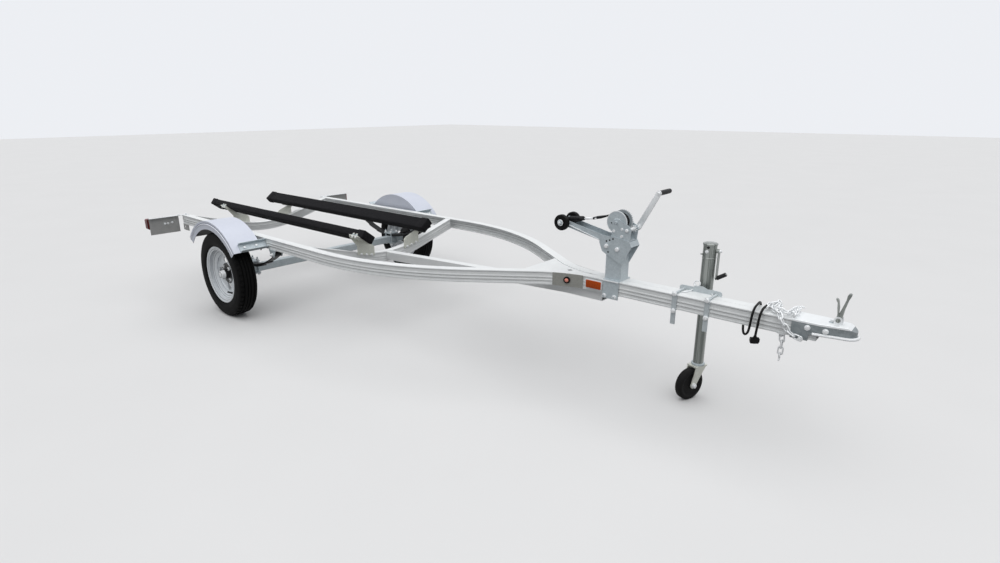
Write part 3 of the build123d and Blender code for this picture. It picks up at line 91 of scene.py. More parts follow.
class Signal:
    """A shader socket that takes part in Python expressions."""

    def __init__(self, finish, socket):
        self.finish = finish
        self.socket = socket

    def maths(self, operation, *values):
        return self.finish.node("ShaderNodeMath", {"operation": operation}, *values)

    def __add__(self, other):
        return self.maths("ADD", self, other)

    def __radd__(self, other):
        return self.maths("ADD", other, self)

    def __sub__(self, other):
        return self.maths("SUBTRACT", self, other)

    def __rsub__(self, other):
        return self.maths("SUBTRACT", other, self)

    def __mul__(self, other):
        return self.maths("MULTIPLY", self, other)

    def __rmul__(self, other):
        return self.maths("MULTIPLY", other, self)

    def __pow__(self, other):
        return self.maths("POWER", self, other)

    def near(self, value, reach):
        return self.maths("COMPARE", self, value, reach)

    def below(self, limit):
        return self.maths("LESS_THAN", self, limit)

    def clamped(self):
        return self.finish.node("ShaderNodeClamp", {}, self)


class Network:
    """A shader tree, built from node calls and socket expressions."""

    def __init__(self, tree):
        self.nodes = tree.nodes
        self.links = tree.links

    def feed(self, socket, value):
        if isinstance(value, Signal):
            self.links.new(value.socket, socket)
        elif value is not None:
            socket.default_value = value

    def node(self, kind, settings, *values, output=0, **named):
        made = self.nodes.new(kind)
        for key, value in settings.items():
            if key == "stops":
                self.set_stops(made.color_ramp, value)
            else:
                setattr(made, key, value)
        for socket, value in zip(made.inputs, values):
            self.feed(socket, value)
        for key, value in named.items():
            self.feed(made.inputs[key.replace("_", " ")], value)
        return Signal(self, made.outputs[output])

    def set_stops(self, ramp, stops):
        while len(ramp.elements) < len(stops):
            ramp.elements.new(1.0)
        for element, (place, shade) in zip(ramp.elements, stops):
            element.position = place
            element.color = (shade, shade, shade, 1.0)

    def backdrop(self):
        """One where the camera, metal or glass looks, nought where light bounces."""
        camera, glossy, clear = [
            self.node("ShaderNodeLightPath", {}, output=ray)
            for ray in ("Is Camera Ray", "Is Glossy Ray", "Is Transmission Ray")
        ]
        return (camera + glossy + clear).clamped()


class Finish(Network):
    """One procedural material."""

    def __init__(self, name, colour, roughness, metallic=0.0, **fixed):
        self.material = bpy.data.materials.new(name)
        self.material.use_nodes = True
        super().__init__(self.material.node_tree)
        self.shader = self.nodes["Principled BSDF"]
        self.set("Base Color", (*colour, 1.0))
        self.set("Roughness", roughness)
        self.set("Metallic", metallic)
        for socket, value in fixed.items():
            self.set(socket.replace("_", " "), value)
        self.material.diffuse_color = (*colour, 1.0)

    def set(self, name, value):
        self.feed(self.shader.inputs[name], value)

    def place(self, stretch=(1, 1, 1)):
        """Object coordinates in metres, stretched."""
        point = self.node("ShaderNodeTexCoord", {}, output=3)
        return self.node("ShaderNodeMapping", {}, point, Scale=stretch)

    def noise(self, scale, detail=3.0, rough=0.5, where=None):
        where = where or self.place()
        return self.node(
            "ShaderNodeTexNoise", {}, Vector=where, Scale=scale, Detail=detail, Roughness=rough
        )

    def along(self, axis):
        """How far a point lies along an axis, in metres."""
        return self.node("ShaderNodeSeparateXYZ", {}, self.place(), output=axis)

    def away(self, ahead, high):
        """How far a point lies from a line across the trailer at a place in millimetres."""
        line = beside((ahead, high))
        x, z = self.along(0) - line.x, self.along(2) - line.z
        return (x * x + z * z) ** 0.5

    def cells(self, scale, output=1):
        place = self.place()
        return self.node("ShaderNodeTexVoronoi", {}, Vector=place, Scale=scale, output=output)

    def ramp(self, value, *stops):
        return self.node("ShaderNodeValToRGB", {"stops": stops}, value)

    def blend(self, factor, first, second):
        def colour(value):
            return (*value, 1.0) if isinstance(value, tuple) else value

        made = self.nodes.new("ShaderNodeMix")
        made.data_type = "RGBA"
        self.feed(made.inputs[0], factor)
        self.feed(made.inputs[6], colour(first))
        self.feed(made.inputs[7], colour(second))
        return Signal(self, made.outputs[2])

    def bump(self, height, strength, depth):
        made = self.node("ShaderNodeBump", {}, Strength=strength, Distance=depth, Height=height)
        self.set("Normal", made)


def shade(finish, dark, light, factor):
    finish.set("Base Color", finish.blend(factor, dark, light))


def aluminium_finish(name, *shade_lines):
    finish = Finish(name, (0.74, 0.76, 0.77), 0.45, 0.12)
    drawn = finish.noise(1.0, 2.0, where=finish.place((3, 3, 900)))
    cloud = finish.noise(9.0, 4.0)
    stain = finish.ramp(finish.noise(38.0, 5.0, 0.65), (0.42, 0.0), (0.72, 1.0))
    tone = (0.45 * cloud + 0.40 * drawn + 0.15 * stain).clamped()
    colour = finish.blend(tone, (0.68, 0.70, 0.70), (0.92, 0.93, 0.93))
    if shade_lines:
        # Painted shade: dark lines at the given heights, where the lip of each rib on the rails
        # shades the groove below it
        height = finish.along(2)
        groove_shade = sum(height.near(shade_line, 0.0013) for shade_line in shade_lines)
        colour = finish.blend(0.62 * groove_shade, colour, (0.09, 0.09, 0.09))
    finish.set("Base Color", colour)
    finish.set("Roughness", 0.32 + 0.16 * cloud + 0.14 * stain)
    finish.bump(drawn, 0.25, 0.0004)
    return finish


def fender_finish():
    """Satin skin: painted shade makes it dark inside, and a painted shadow line and a painted
    highlight line run round the outer skirt.
    """
    finish = Finish("fender skin", (0.48, 0.51, 0.58), 0.42, 0.1)
    cloud = finish.noise(6.0, 3.0)
    smear = finish.noise(60.0, 4.0, 0.7)
    colour = finish.blend(0.7 * cloud + 0.3 * smear, (0.54, 0.57, 0.66), (0.68, 0.71, 0.79))
    reach = finish.away(*FENDER)
    side = finish.along(1)
    across = side.maths("ABSOLUTE", side)
    # Painted shade: the inside of the arch is painted near black where it lies in shade
    inside = reach.below(0.3768) * across.near(0.727, 0.0857)
    skirt = 1.0 - across.below(0.8127)
    # Painted shadow: a dark line round the outer skirt, below the fold of the skin
    colour = finish.blend(skirt * reach.near(0.3645, 0.0026), colour, (0.16, 0.18, 0.25))
    # Painted highlight: a pale line round the outer skirt, where the bead catches the light
    colour = finish.blend(skirt * reach.near(0.358, 0.0036), colour, (0.84, 0.86, 0.92))
    finish.set("Base Color", finish.blend(inside, colour, (0.025, 0.025, 0.028)))
    finish.set("Roughness", 0.34 + 0.16 * smear)
    finish.bump(smear, 0.08, 0.0004)
    return finish


def galvanised_finish(name, dark, light, spangle, metallic=0.15, sky_lit_above=SKY):
    """Zinc with its spangle; above the given height, in metres, it is painted pale as a painted
    highlight of the sky on its tops.
    """
    finish = Finish(name, light, 0.42, metallic)
    grain = finish.node("ShaderNodeSeparateColor", {}, finish.cells(spangle))
    bloom = finish.ramp(finish.noise(24.0, 5.0, 0.6), (0.38, 0.0), (0.68, 1.0))
    tone = (0.55 * grain + 0.45 * bloom).clamped()
    colour = finish.blend(tone, dark, light)
    # Painted highlight: above the height the zinc is painted pale, for the sky light on the tops
    shade(finish, (0.84, 0.86, 0.87), colour, finish.along(2).below(sky_lit_above))
    finish.set("Roughness", 0.36 + 0.05 * grain + 0.10 * bloom)
    finish.bump(finish.noise(260.0, 3.0), 0.12, 0.0005)
    return finish


def jack_finish():
    """Drawn tube, with painted reflections as light and dark streaks along its length."""
    finish = Finish("jack zinc", (0.26, 0.28, 0.265), 0.3, 0.6)
    # Painted reflection: light and dark streaks run along the tube, standing for the reflections
    # down its length
    reflection_streak = finish.noise(1.0, 3.0, 0.6, where=finish.place((70, 70, 1.2)))
    reflection_streak = finish.ramp(reflection_streak, (0.34, 0.0), (0.66, 1.0))
    shade(finish, (0.15, 0.165, 0.155), (0.40, 0.42, 0.40), reflection_streak)
    finish.set("Roughness", 0.24 + 0.12 * reflection_streak)
    return finish


def rim_finish():
    """Galvanised, with a black nave and, as painted shade, dark lines between the rings of the
    well.
    """
    finish = Finish("rim", (0.66, 0.69, 0.71), 0.4, 0.2)
    reach = finish.away(*AXLE)
    cloud = finish.noise(40.0, 4.0)
    colour = finish.blend(cloud, (0.58, 0.61, 0.64), (0.80, 0.83, 0.85))
    # Painted shade: dark lines between the rings of the well, where the steps shade each other
    rings = sum(reach.near(ring, 0.0016) for ring in (0.1425, 0.1535, 0.165))
    colour = finish.blend(0.6 * rings, colour, (0.10, 0.11, 0.12))
    finish.set("Base Color", finish.blend(reach.below(0.066), colour, (0.008, 0.008, 0.009)))
    finish.set("Roughness", 0.3 + 0.2 * cloud)
    return finish


def rubber_finish(name, tone, roughness, dust=0.0):
    finish = Finish(name, (tone, tone, tone * 1.06), roughness, Specular_IOR_Level=0.08)
    grain = finish.noise(420.0, 4.0, 0.6)
    cloud = finish.noise(14.0, 4.0, 0.6)
    worn = tone * 2.2 + dust
    shade(finish, (tone, tone, tone * 1.05), (worn, worn * 0.97, worn * 0.92), cloud * cloud)
    finish.set("Roughness", roughness - 0.1 + 0.2 * cloud)
    finish.bump(grain, 0.3, 0.0005)
    return finish


def carpet_finish():
    finish = Finish(
        "carpet", (0.02, 0.02, 0.021), 0.95, Specular_IOR_Level=0.08, Sheen_Weight=0.05
    )
    tuft = finish.noise(900.0, 3.0, 0.7)
    nap = finish.noise(70.0, 4.0, 0.6)
    shade(finish, (0.004, 0.004, 0.005), (0.018, 0.0175, 0.020), 0.6 * tuft + 0.4 * nap)
    finish.bump(tuft + 0.5 * nap, 0.9, 0.002)
    return finish


def painted_finish(name, colour, roughness, chip):
    finish = Finish(name, colour, roughness, Specular_IOR_Level=0.3)
    peel = finish.noise(300.0, 2.0)
    worn = finish.ramp(finish.noise(55.0, 5.0, 0.7), (0.60, 0.0), (0.68, 1.0))
    shade(finish, colour, chip, 0.6 * worn)
    finish.set("Roughness", roughness + 0.2 * worn)
    finish.bump(peel, 0.12, 0.0004)
    return finish


def lens_finish(name, dark, light):
    finish = Finish(name, light, 0.3, Specular_IOR_Level=0.18)
    prism = finish.cells(190.0, output=0)
    shade(finish, dark, light, (prism * 2.0).clamped())
    finish.bump(prism, 0.35, 0.0008)
    return finish


def webbing_finish():
    finish = Finish("webbing", (0.03, 0.03, 0.033), 0.8, Specular_IOR_Level=0.15)
    warp, weft = [
        finish.node(
            "ShaderNodeTexWave", {"bands_direction": way},
            Vector=finish.place(), Scale=scale, output=1,
        )
        for way, scale in (("X", 130.0), ("Y", 190.0))
    ]
    weave = warp * weft
    shade(finish, (0.006, 0.006, 0.007), (0.040, 0.040, 0.043), weave)
    finish.bump(weave, 0.6, 0.0008)
    return finish


# Dark and light tone, spangle, metallic, and the height in metres above which the zinc is painted
# pale, a painted highlight of the sky on the tops
ZINCS = {
    "galvanised": ((0.44, 0.50, 0.53), (0.58, 0.64, 0.67), 140.0),
    "cream_zinc": ((0.63, 0.64, 0.575), (0.78, 0.79, 0.715), 160.0),
    "mount_zinc": ((0.48, 0.53, 0.55), (0.60, 0.65, 0.67), 90.0, 0.1),
    "coupler_zinc": ((0.19, 0.215, 0.225), (0.31, 0.34, 0.355), 90.0, 0.25, 0.512),
    "tail_zinc": ((0.34, 0.34, 0.335), (0.43, 0.43, 0.42), 160.0, 0.15, 0.513),
    "grey_plate": ((0.27, 0.27, 0.25), (0.35, 0.35, 0.32), 200.0),
    "chain_zinc": ((0.78, 0.80, 0.81), (0.93, 0.94, 0.95), 500.0, 0.25),
}


def make_finishes():
    black = (0.010, 0.010, 0.011)
    # Heights in metres of the painted shade lines under the lips of the rails' ribs
    rib_shade_heights = (0.5075, 0.4832, 0.4678)
    zincs = {name: galvanised_finish(name.replace("_", " "), *ZINCS[name]) for name in ZINCS}
    return zincs | {
        "aluminium": aluminium_finish("aluminium"),
        "ribbed": aluminium_finish("ribbed aluminium", *rib_shade_heights),
        "fender_skin": fender_finish(),
        "rim": rim_finish(),
        "jack_zinc": jack_finish(),
        "tyre": rubber_finish("tyre", 0.0025, 0.65),
        "roller_rubber": rubber_finish("roller rubber", 0.006, 0.5),
        "caster_rubber": rubber_finish("caster rubber", 0.008, 0.55, dust=0.004),
        "wiring_black": rubber_finish("wiring sheath", 0.008, 0.4),
        "carpet": carpet_finish(),
        "spring_steel": painted_finish("spring paint", black, 0.42, (0.06, 0.05, 0.04)),
        "black_grip": painted_finish("grip plastic", black, 0.45, (0.03, 0.03, 0.03)),
        "webbing": webbing_finish(),
        "red_lens": lens_finish("red lens", (0.05, 0.002, 0.003), (0.14, 0.006, 0.006)),
        "amber_lens": lens_finish("amber lens", (0.26, 0.028, 0.001), (0.54, 0.080, 0.004)),
        "marker_lens": lens_finish("marker lens", (0.62, 0.07, 0.04), (0.90, 0.34, 0.26)),
    }


finishes = make_finishes()


def wear(piece, slot):
    piece.data.materials.clear()
    piece.data.materials.append(finishes[slot].material)


# Bench: directions, edit mode steps and the shapes that repeat


def angles(count):
    """Equal turns round a ring, in radians."""
    return [ROUND * step / count for step in range(count)]


def spoke(angle):
    """A direction in the wheels' plane: ahead at nought, up at a quarter turn."""
    return Vector((cos(angle), 0, sin(angle)))


def only(piece):
    bpy.ops.object.select_all(action="DESELECT")
    piece.select_set(True)
    bpy.context.view_layer.objects.active = piece


def switch(mode):
    bpy.ops.object.mode_set(mode=mode)


def settle(piece):
    """Closes doubles and turns every face outwards, then leaves edit mode."""
    bpy.ops.mesh.select_all(action="SELECT")
    bpy.ops.mesh.remove_doubles(threshold=0.00001)
    bpy.ops.mesh.normals_make_consistent(inside=False)
    switch("OBJECT")
    return piece


def primitive(kind, place=ORIGIN, **how):
    """Adds a primitive with nothing else selected."""
    bpy.ops.object.select_all(action="DESELECT")
    getattr(bpy.ops.mesh, f"primitive_{kind}_add")(location=place, **how)
    return bpy.context.object


def trace(name, points):
    """Draws a line of edges: a plane drawn together to a point, pulled on from place to place."""
    piece = primitive("plane", size=0.01)
    piece.name = name
    switch("EDIT")
    bpy.ops.mesh.select_mode(type="VERT")
    bpy.ops.mesh.merge(type="CENTER")
    bpy.ops.transform.translate(value=points[0])
    for before, after in zip(points, points[1:]):
        bpy.ops.mesh.extrude_vertices_move(TRANSFORM_OT_translate={"value": after - before})
    return piece


def turned(name, outline, centre, axis, steps):
    """Spins an outline of (along, out) millimetres about an axis; a ring ends where it began."""
    axis = Vector(axis).normalized()
    out = axis.orthogonal().normalized()
    points = [Vector(centre) + axis * along * MM + out * reach * MM for along, reach in outline]
    piece = trace(name, points)
    bpy.ops.mesh.select_all(action="SELECT")
    bpy.ops.mesh.spin(steps=steps, angle=ROUND, center=centre, axis=axis)
    return settle(piece)


def mirrored(half):
    """Closes half a tread's outline with its mirror image."""
    return half + [(-along, reach) for along, reach in reversed(half) if along] + half[:1]


def block(length, width, height):
    """A block in millimetres about the origin, left in edit mode to be shaped."""
    piece = primitive("cube", size=1.0)
    switch("EDIT")
    bpy.ops.transform.resize(value=(length * MM, width * MM, height * MM))
    return piece


def plate(name, corners, depth):
    """Fills a traced outline and pulls it through its thickness in millimetres."""
    piece = trace(name, corners)
    bpy.ops.mesh.select_all(action="SELECT")
    bpy.ops.mesh.edge_face_add()
    bpy.ops.mesh.extrude_region_move(TRANSFORM_OT_translate={"value": depth * MM})
    return settle(piece)


def wire(name, points, radius, closed=False, smooth=True):
    """Bends round wire through points in metres."""
    bpy.ops.object.select_all(action="DESELECT")
    bpy.ops.curve.primitive_nurbs_path_add()
    rod = bpy.context.object
    rod.name = name
    rod.data.splines.clear()
    spline = rod.data.splines.new("NURBS" if smooth else "POLY")
    spline.points.add(len(points) - 1)
    for point, place in zip(spline.points, points):
        point.co = (*place, 1.0)
    if smooth:
        spline.order_u = 3
        spline.use_endpoint_u = not closed
    spline.use_cyclic_u = closed
    spline.resolution_u = 6
    rod.data.bevel_depth = radius * MM
    rod.data.bevel_resolution = 2
    rod.data.use_fill_caps = True
    only(rod)
    bpy.ops.object.convert(target="MESH")
    piece = bpy.context.object
    switch("EDIT")
    return settle(piece)


def rounded(piece, width, segments=2, angle=35):
    """Breaks the sharp edges of a piece."""
    only(piece)
    edge = piece.modifiers.new("edge", "BEVEL")
    edge.width = width * MM
    edge.segments = segments
    edge.limit_method = "ANGLE"
    edge.angle_limit = radians(angle)
    bpy.ops.object.modifier_apply(modifier="edge")
    return piece


def slab(name, outline, y, depth, edge, segments=2):
    """A rounded plate to (ahead, up) millimetres, from y through its depth to the left."""
    corners = [spot(x, y, z) for x, z in outline]
    return rounded(plate(name, corners, LEFT * depth), edge, segments)


def facing(place, way, roll=0.0):
    """Stands a master that points up at a place, turned to point another way."""
    turn = Vector(way).to_track_quat("Z", "Y").to_matrix().to_4x4()
    return Matrix.Translation(place) @ turn @ Matrix.Rotation(radians(roll), 4, "Z")


def joined(name, parts):
    bpy.ops.object.select_all(action="DESELECT")
    for part in parts:
        part.select_set(True)
    bpy.context.view_layer.objects.active = parts[0]
    if len(parts) > 1:
        bpy.ops.object.join()
    piece = bpy.context.object
    piece.name = name
    return piece


def copies(name, master, frames):
    """Copies one master to each place, each copy with its own mesh, joined as one piece."""
    made = []
    for where in frames:
        twin = master.copy()
        twin.data = master.data.copy()
        twin.data.transform(where)
        bpy.context.scene.collection.objects.link(twin)
        made.append(twin)
    return joined(name, made)


def scrap(*masters):
    for master in masters:
        bpy.data.objects.remove(master)


def fit(piece, body="frame", slot="chain_zinc", *stands_for, angle=35, look=None):
    """Finishes a piece: its body, its slot, its material and the nodes that it stands for."""
    only(piece)
    bpy.ops.object.shade_smooth_by_angle(angle=radians(angle))
    wear(piece, look or slot)
    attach(piece, body)
    if stands_for:
        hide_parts(*stands_for)
    return piece


def pick(piece, test):
    """Selects the faces that pass a test of their middle and normal, and stays in edit mode."""
    only(piece)
    switch("EDIT")
    bpy.ops.mesh.select_mode(type="FACE")
    bpy.ops.mesh.select_all(action="DESELECT")
    switch("OBJECT")
    for face in piece.data.polygons:
        face.select = test(face.center, face.normal)
    switch("EDIT")


def hexagon(name, across, height, washer=0.0, stub=0.0):
    """A hexagon head or nut with its chamfer, washer and the end of its thread."""
    head = primitive(
        "cylinder", UP * (washer + height / 2) * MM,
        vertices=6, radius=across / sqrt(3) * MM, depth=height * MM,
    )
    bpy.ops.object.transform_apply(location=True)
    pick(head, lambda middle, normal: normal.z > 0.9)
    bpy.ops.mesh.inset(thickness=across * 0.07 * MM)
    bpy.ops.transform.translate(value=(0, 0, across * 0.04 * MM))
    switch("OBJECT")
    rounded(head, across * 0.015, 1, 50)
    parts = [head]
    stem = across * 0.3
    top = washer + height + stub
    outline = [(0, 0), (0, across * 0.62), (washer * 0.7, across * 0.62), (washer, across * 0.58)]
    if washer <= 0:
        outline = [(0, 0), (0, stem)]
    if stub > 0:
        outline += [(washer, stem), (top - 0.8, stem), (top, stem * 0.82), (top, 0)]
    else:
        outline += [(washer, 0)]
    if washer > 0 or stub > 0:
        parts.append(turned(name, outline, ORIGIN, UP, 24))
    return joined(name, parts)


# Sizes that a user may change


def millimetres(name, description, default):
    return bpy.props.FloatProperty(name=name, description=description + ", mm", default=default)


class WheelSizes(bpy.types.PropertyGroup):
    track: millimetres("Track", "A wheel's middle from the trailer's middle", 736.0)
    height: millimetres("Axle height", "The axle's middle above the ground", 269.0)
    stud_circle: millimetres("Stud circle", "The wheel studs from the wheel's middle", 50.8)
    notch_depth: millimetres("Notch depth", "How deep the shoulder notches are", 3.5)
    steps: bpy.props.IntProperty(name="Steps", description="Faces round a tyre", default=144)


class BunkSizes(bpy.types.PropertyGroup):
    length: millimetres("Length", "A bunk's length", 1996.0)
    width: millimetres("Width", "Across the top of a bunk", 80.4)
    height: millimetres("Height", "A bunk's thickness", 42.9)
    edge: millimetres("Edge", "How round the carpet lies over the board's edges", 8.5)
    pile: millimetres("Pile", "How thick the carpet's loose pile stands on the board", 4.0)
    crown: millimetres("Crown", "How far the carpet stands up in its middle", 0.9)
    cant: bpy.props.FloatProperty(
        name="Cant",
        description="How far a bunk leans to the keel",
        default=radians(38),
        subtype="ANGLE",
    )


class ChainSizes(bpy.types.PropertyGroup):
    bar: millimetres("Bar", "Thickness of the safety chains' wire", 6.2)
    pitch: millimetres("Pitch", "From link to link", 26.0)
    inside: millimetres("Inside", "Room inside a link", 10.6)
    hook_bend: millimetres("Hook bend", "Radius of the S hooks' bends", 8.0)


class WinchSizes(bpy.types.PropertyGroup):
    teeth: bpy.props.IntProperty(name="Teeth", description="Teeth of the drum's gear", default=35)
    pinion_teeth: bpy.props.IntProperty(
        name="Pinion teeth", description="Teeth of the crank's pinion", default=10
    )
    gear: millimetres("Gear", "Pitch radius of the drum's gear", 49.39)
    pinion: millimetres("Pinion", "Pitch radius of the pinion", 14.11)


class StudioSizes(bpy.types.PropertyGroup):
    eye: bpy.props.FloatVectorProperty(
        name="Eye",
        description="Where the camera stands",
        default=(2.51911, -2.27907, 1.27465),
        subtype="TRANSLATION",
        unit="LENGTH",
    )
    look: bpy.props.FloatVectorProperty(
        name="Look",
        description="How the camera is turned",
        default=tuple(radians(a) for a in (73.0746, 0.1166, 40.4489)),
        subtype="EULER",
        unit="ROTATION",
    )
    lens: bpy.props.FloatProperty(
        name="Lens", description="Focal length in millimetres", default=20.646, min=5.0
    )
    floor_tone: bpy.props.FloatProperty(
        name="Floor tone", description="How pale the floor is", default=0.72, min=0.0, max=1.0
    )


class TRAILER_OT_stage(bpy.types.Operator):
    """Puts the trailer on a pale floor under soft light, seen as in the photograph"""

    bl_idname = "trailer.stage"
    bl_label = "Stage"

    def execute(self, context):
        sizes = context.scene.trailer_studio
        floor = primitive("plane", size=60.0)
        floor.name = "floor"
        tone = sizes.floor_tone
        ground = Finish("floor", (tone, tone, tone), 0.9, Specular_IOR_Level=0.1)
        wisp = ground.blend(ground.noise(1.5, 3.0), (tone * 0.98,) * 3, (tone * 1.02,) * 3)
        shade(ground, (0.12, 0.12, 0.12), wisp, ground.backdrop())
        floor.data.materials.append(ground.material)

        world = bpy.data.worlds.new("studio")
        context.scene.world = world
        world.use_nodes = True
        air = Network(world.node_tree)
        sky = air.nodes["Background"]
        air.feed(sky.inputs[0], (0.94, 0.96, 1.0, 1.0))
        air.feed(sky.inputs[1], 0.3 + 0.6 * air.backdrop())

        for name, kind, place, size, power in (
            ("overcast", "SUN", (0.4, -0.6, 5.0), radians(100), 2.4),
            ("front box", "AREA", (4.0, -3.0, 3.2), 3.0, 14.0),
        ):
            bpy.ops.object.light_add(type=kind, location=place)
            lamp = context.object
            lamp.name = name
            if kind == "SUN":
                lamp.data.angle = size
            else:
                lamp.data.size = size
            lamp.data.energy = power
            lamp.rotation_euler = Vector(place).to_track_quat("Z", "Y").to_euler()

        camera_data = bpy.data.cameras.new("camera")
        camera_data.lens = sizes.lens
        camera_data.sensor_width = 36.0
        camera = bpy.data.objects.new("camera", camera_data)
        context.scene.collection.objects.link(camera)
        camera.location = sizes.eye
        camera.rotation_euler = Euler(sizes.look)
        context.scene.camera = camera
        context.scene.view_settings.view_transform = "Standard"
        return {"FINISHED"}


WIRE_ROUTE = (
    (2938, -38, 449.7),
    (2938, -38, 426),
    (2952, -58, 414),
    (2968, -69, 430),
    (2972, -69, 466),
    (2974, -67, 506),
    (2974, -44, 530),
    (2972, 0, 532),
    (2968, 44, 530),
    (2966, 67, 506),
    (2966, 68, 466),
    (2986, 70, 454),
    (3006, 68, 466),
    (3006, 67, 506),
    (3005, 44, 530),
    (3004, 0, 532),
    (3003, -44, 530),
    (3002, -67, 506),
    (3000, -69, 472),
    (2997, -68, 442),
    (2995, -65, 416),
)


class TRAILER_OT_wiring(bpy.types.Operator):
    """Winds the wiring twice over the tongue and puts its flat plug on the end"""

    bl_idname = "trailer.wiring"
    bl_label = "Wiring"

    def execute(self, context):
        curve = bpy.data.curves.new("wiring", "CURVE")
        curve.dimensions = "3D"
        spline = curve.splines.new("NURBS")
        spline.points.add(len(WIRE_ROUTE) - 1)
        for point, place in zip(spline.points, WIRE_ROUTE):
            point.co = (*spot(*place), 1.0)
        spline.order_u = 3
        spline.use_endpoint_u = True
        spline.resolution_u = 8
        curve.bevel_depth = 4.6 * MM
        curve.bevel_resolution = 3
        cord = bpy.data.objects.new("wiring", curve)
        context.scene.collection.objects.link(cord)
        wear(cord, "wiring_black")
        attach(cord, "frame")
        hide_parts("wiring_cord")

        end = spot(*WIRE_ROUTE[-1])
        way = (end - spot(*WIRE_ROUTE[-2])).normalized()
        plug = block(34, 16.5, 16)
        switch("OBJECT")
        pick(plug, lambda middle, normal: normal.z > 0.9)
        bpy.ops.mesh.inset(thickness=0.0016)
        bpy.ops.mesh.extrude_region_move(TRANSFORM_OT_translate={"value": (0, 0, 0.006)})
        switch("OBJECT")
        rounded(plug, 1.1, 3)
        parts = [plug]
        for step in range(3):
            low, mid, high = -12 - 3 * step, -9.6 - 3 * step, -7.6 - 3 * step
            ring = [(low, 0), (low, 7.4 - step), (mid, 7.8 - step), (high, 7.4 - step), (high, 0)]
            parts.append(turned("relief", ring, ORIGIN, UP, 16))
        blade = [(11, 0), (11, 1.1), (18.0, 1.1), (18.4, 0)]
        for across in (-6, -2, 2, 6):
            parts.append(turned("blade", blade, AHEAD * across * MM, UP, 10))
        plug = joined("wiring_end", parts)
        plug.data.transform(facing(end + way * 10 * MM, way))
        fit(plug, "frame", "wiring_black", "wiring_plug")
        tuple(spot(*WIRE_ROUTE[0]))
        return {"FINISHED"}


class TRAILER_OT_tyres(bpy.types.Operator):
    """Moulds the tyres with their tread grooves and shoulder notches"""

    bl_idname = "trailer.tyres"
    bl_label = "Tyres"

    def execute(self, context):
        sizes = context.scene.trailer_wheels
        half = [
            (41, 162.5), (43, 170), (45.5, 179), (52, 184.5), (55.4, 187.4), (56.4, 187.2),
            (57.6, 191), (60, 200), (60.9, 212), (60.7, 224), (60.1, 228), (59.3, 228.8),
            (59.3, 231), (59.9, 232), (59.3, 240), (58, 247.5), (56, 253), (52.5, 259.5),
            (49, 263.6), (46.5, 265.6), (33, 267.6), (32, 261.5), (28, 261.5), (27, 268),
            (12, 268.8), (11, 262.5), (7, 262.5), (6, 269), (0, 269),
        ]
        outline = mirrored(half)
        notches, tread_edge = (0.033, 0.0535), 0.2605
        for side, word in SIDES:
            centre = spot(0, side * sizes.track, sizes.height)
            tyre = turned(f"tread_{word}", outline, centre, LEFT, sizes.steps)

            def notched(middle, normal):
                x, z = middle.x - centre.x, middle.z - centre.z
                along = abs(middle.y - centre.y)
                column = int(degrees(atan2(z, x)) % 360 * sizes.steps / 360)
                turn = (column + (middle.y > centre.y)) % 3 == 0
                inside = notches[0] < along < notches[1] and hypot(x, z) > tread_edge
                return turn and inside

            pick(tyre, notched)
            bpy.ops.mesh.extrude_region_shrink_fatten(
                TRANSFORM_OT_shrink_fatten={"value": -sizes.notch_depth * MM}
            )
            switch("OBJECT")
            fit(tyre, f"wheel_{word}", "tyre", f"tyre_{word}", angle=30)
        return {"FINISHED"}


class TRAILER_OT_wheel_trim(bpy.types.Operator):
    """Rolls the rims' edges and adds their nuts, hub caps and valves"""

    bl_idname = "trailer.wheel_trim"
    bl_label = "Wheel trim"

    def execute(self, context):
        sizes = context.scene.trailer_wheels
        nut = hexagon("wheel nut", 19.0, 11.0, stub=2.5)
        roll = [(50.6 + 2.6 * cos(a), 178 + 2.6 * sin(a))
                for a in angles(10)]
        roll.append(roll[0])
        lip = [(4.8, 112), (8, 114), (8.6, 117), (8, 120), (4.8, 123.5), (4.8, 112)]
        for side, word in SIDES:
            centre = spot(0, side * sizes.track, sizes.height)
            out = LEFT * side
            edges = [turned("edge", line, centre, way, 96)
                     for line, way in ((roll, out), (roll, -out), (lip, out))]
            fit(joined(f"rim_edge_{word}", edges), f"wheel_{word}", "rim")
            seat = centre + out * 5 * MM
            frames = [facing(seat + spoke(radians(angle)) * sizes.stud_circle * MM, out, 15)
                      for angle in (45, 135, 225, 315)]
            fit(copies(f"wheel_nuts_{word}", nut, frames), f"wheel_{word}", "chain_zinc")
            cap = turned(
                f"hub_cap_{word}",
                [(25.8, 0), (25.8, 26.6), (28.6, 27.4), (30.4, 26), (45, 25), (49.5, 23),
                 (52.2, 16), (52.8, 9), (52.8, 5.5), (53.6, 5.2), (53.8, 0)],
                centre, out, 40,
            )
            fit(cap, f"wheel_{word}", "chain_zinc")
            low = spoke(radians(-58))
            seat = centre + (out * 22 + low * 134) * MM
            lean = (out * 0.86 - low * 0.5).normalized()
            valve = turned(
                f"valve_{word}",
                [(-2, 0), (-2, 8), (3, 7.4), (6, 5.2), (20, 4.2), (22, 4.2), (22, 4.8), (31, 4.8),
                 (32, 4), (32, 0)],
                seat, lean, 20,
            )
            fit(valve, f"wheel_{word}", "wiring_black")
        scrap(nut)
        return {"FINISHED"}


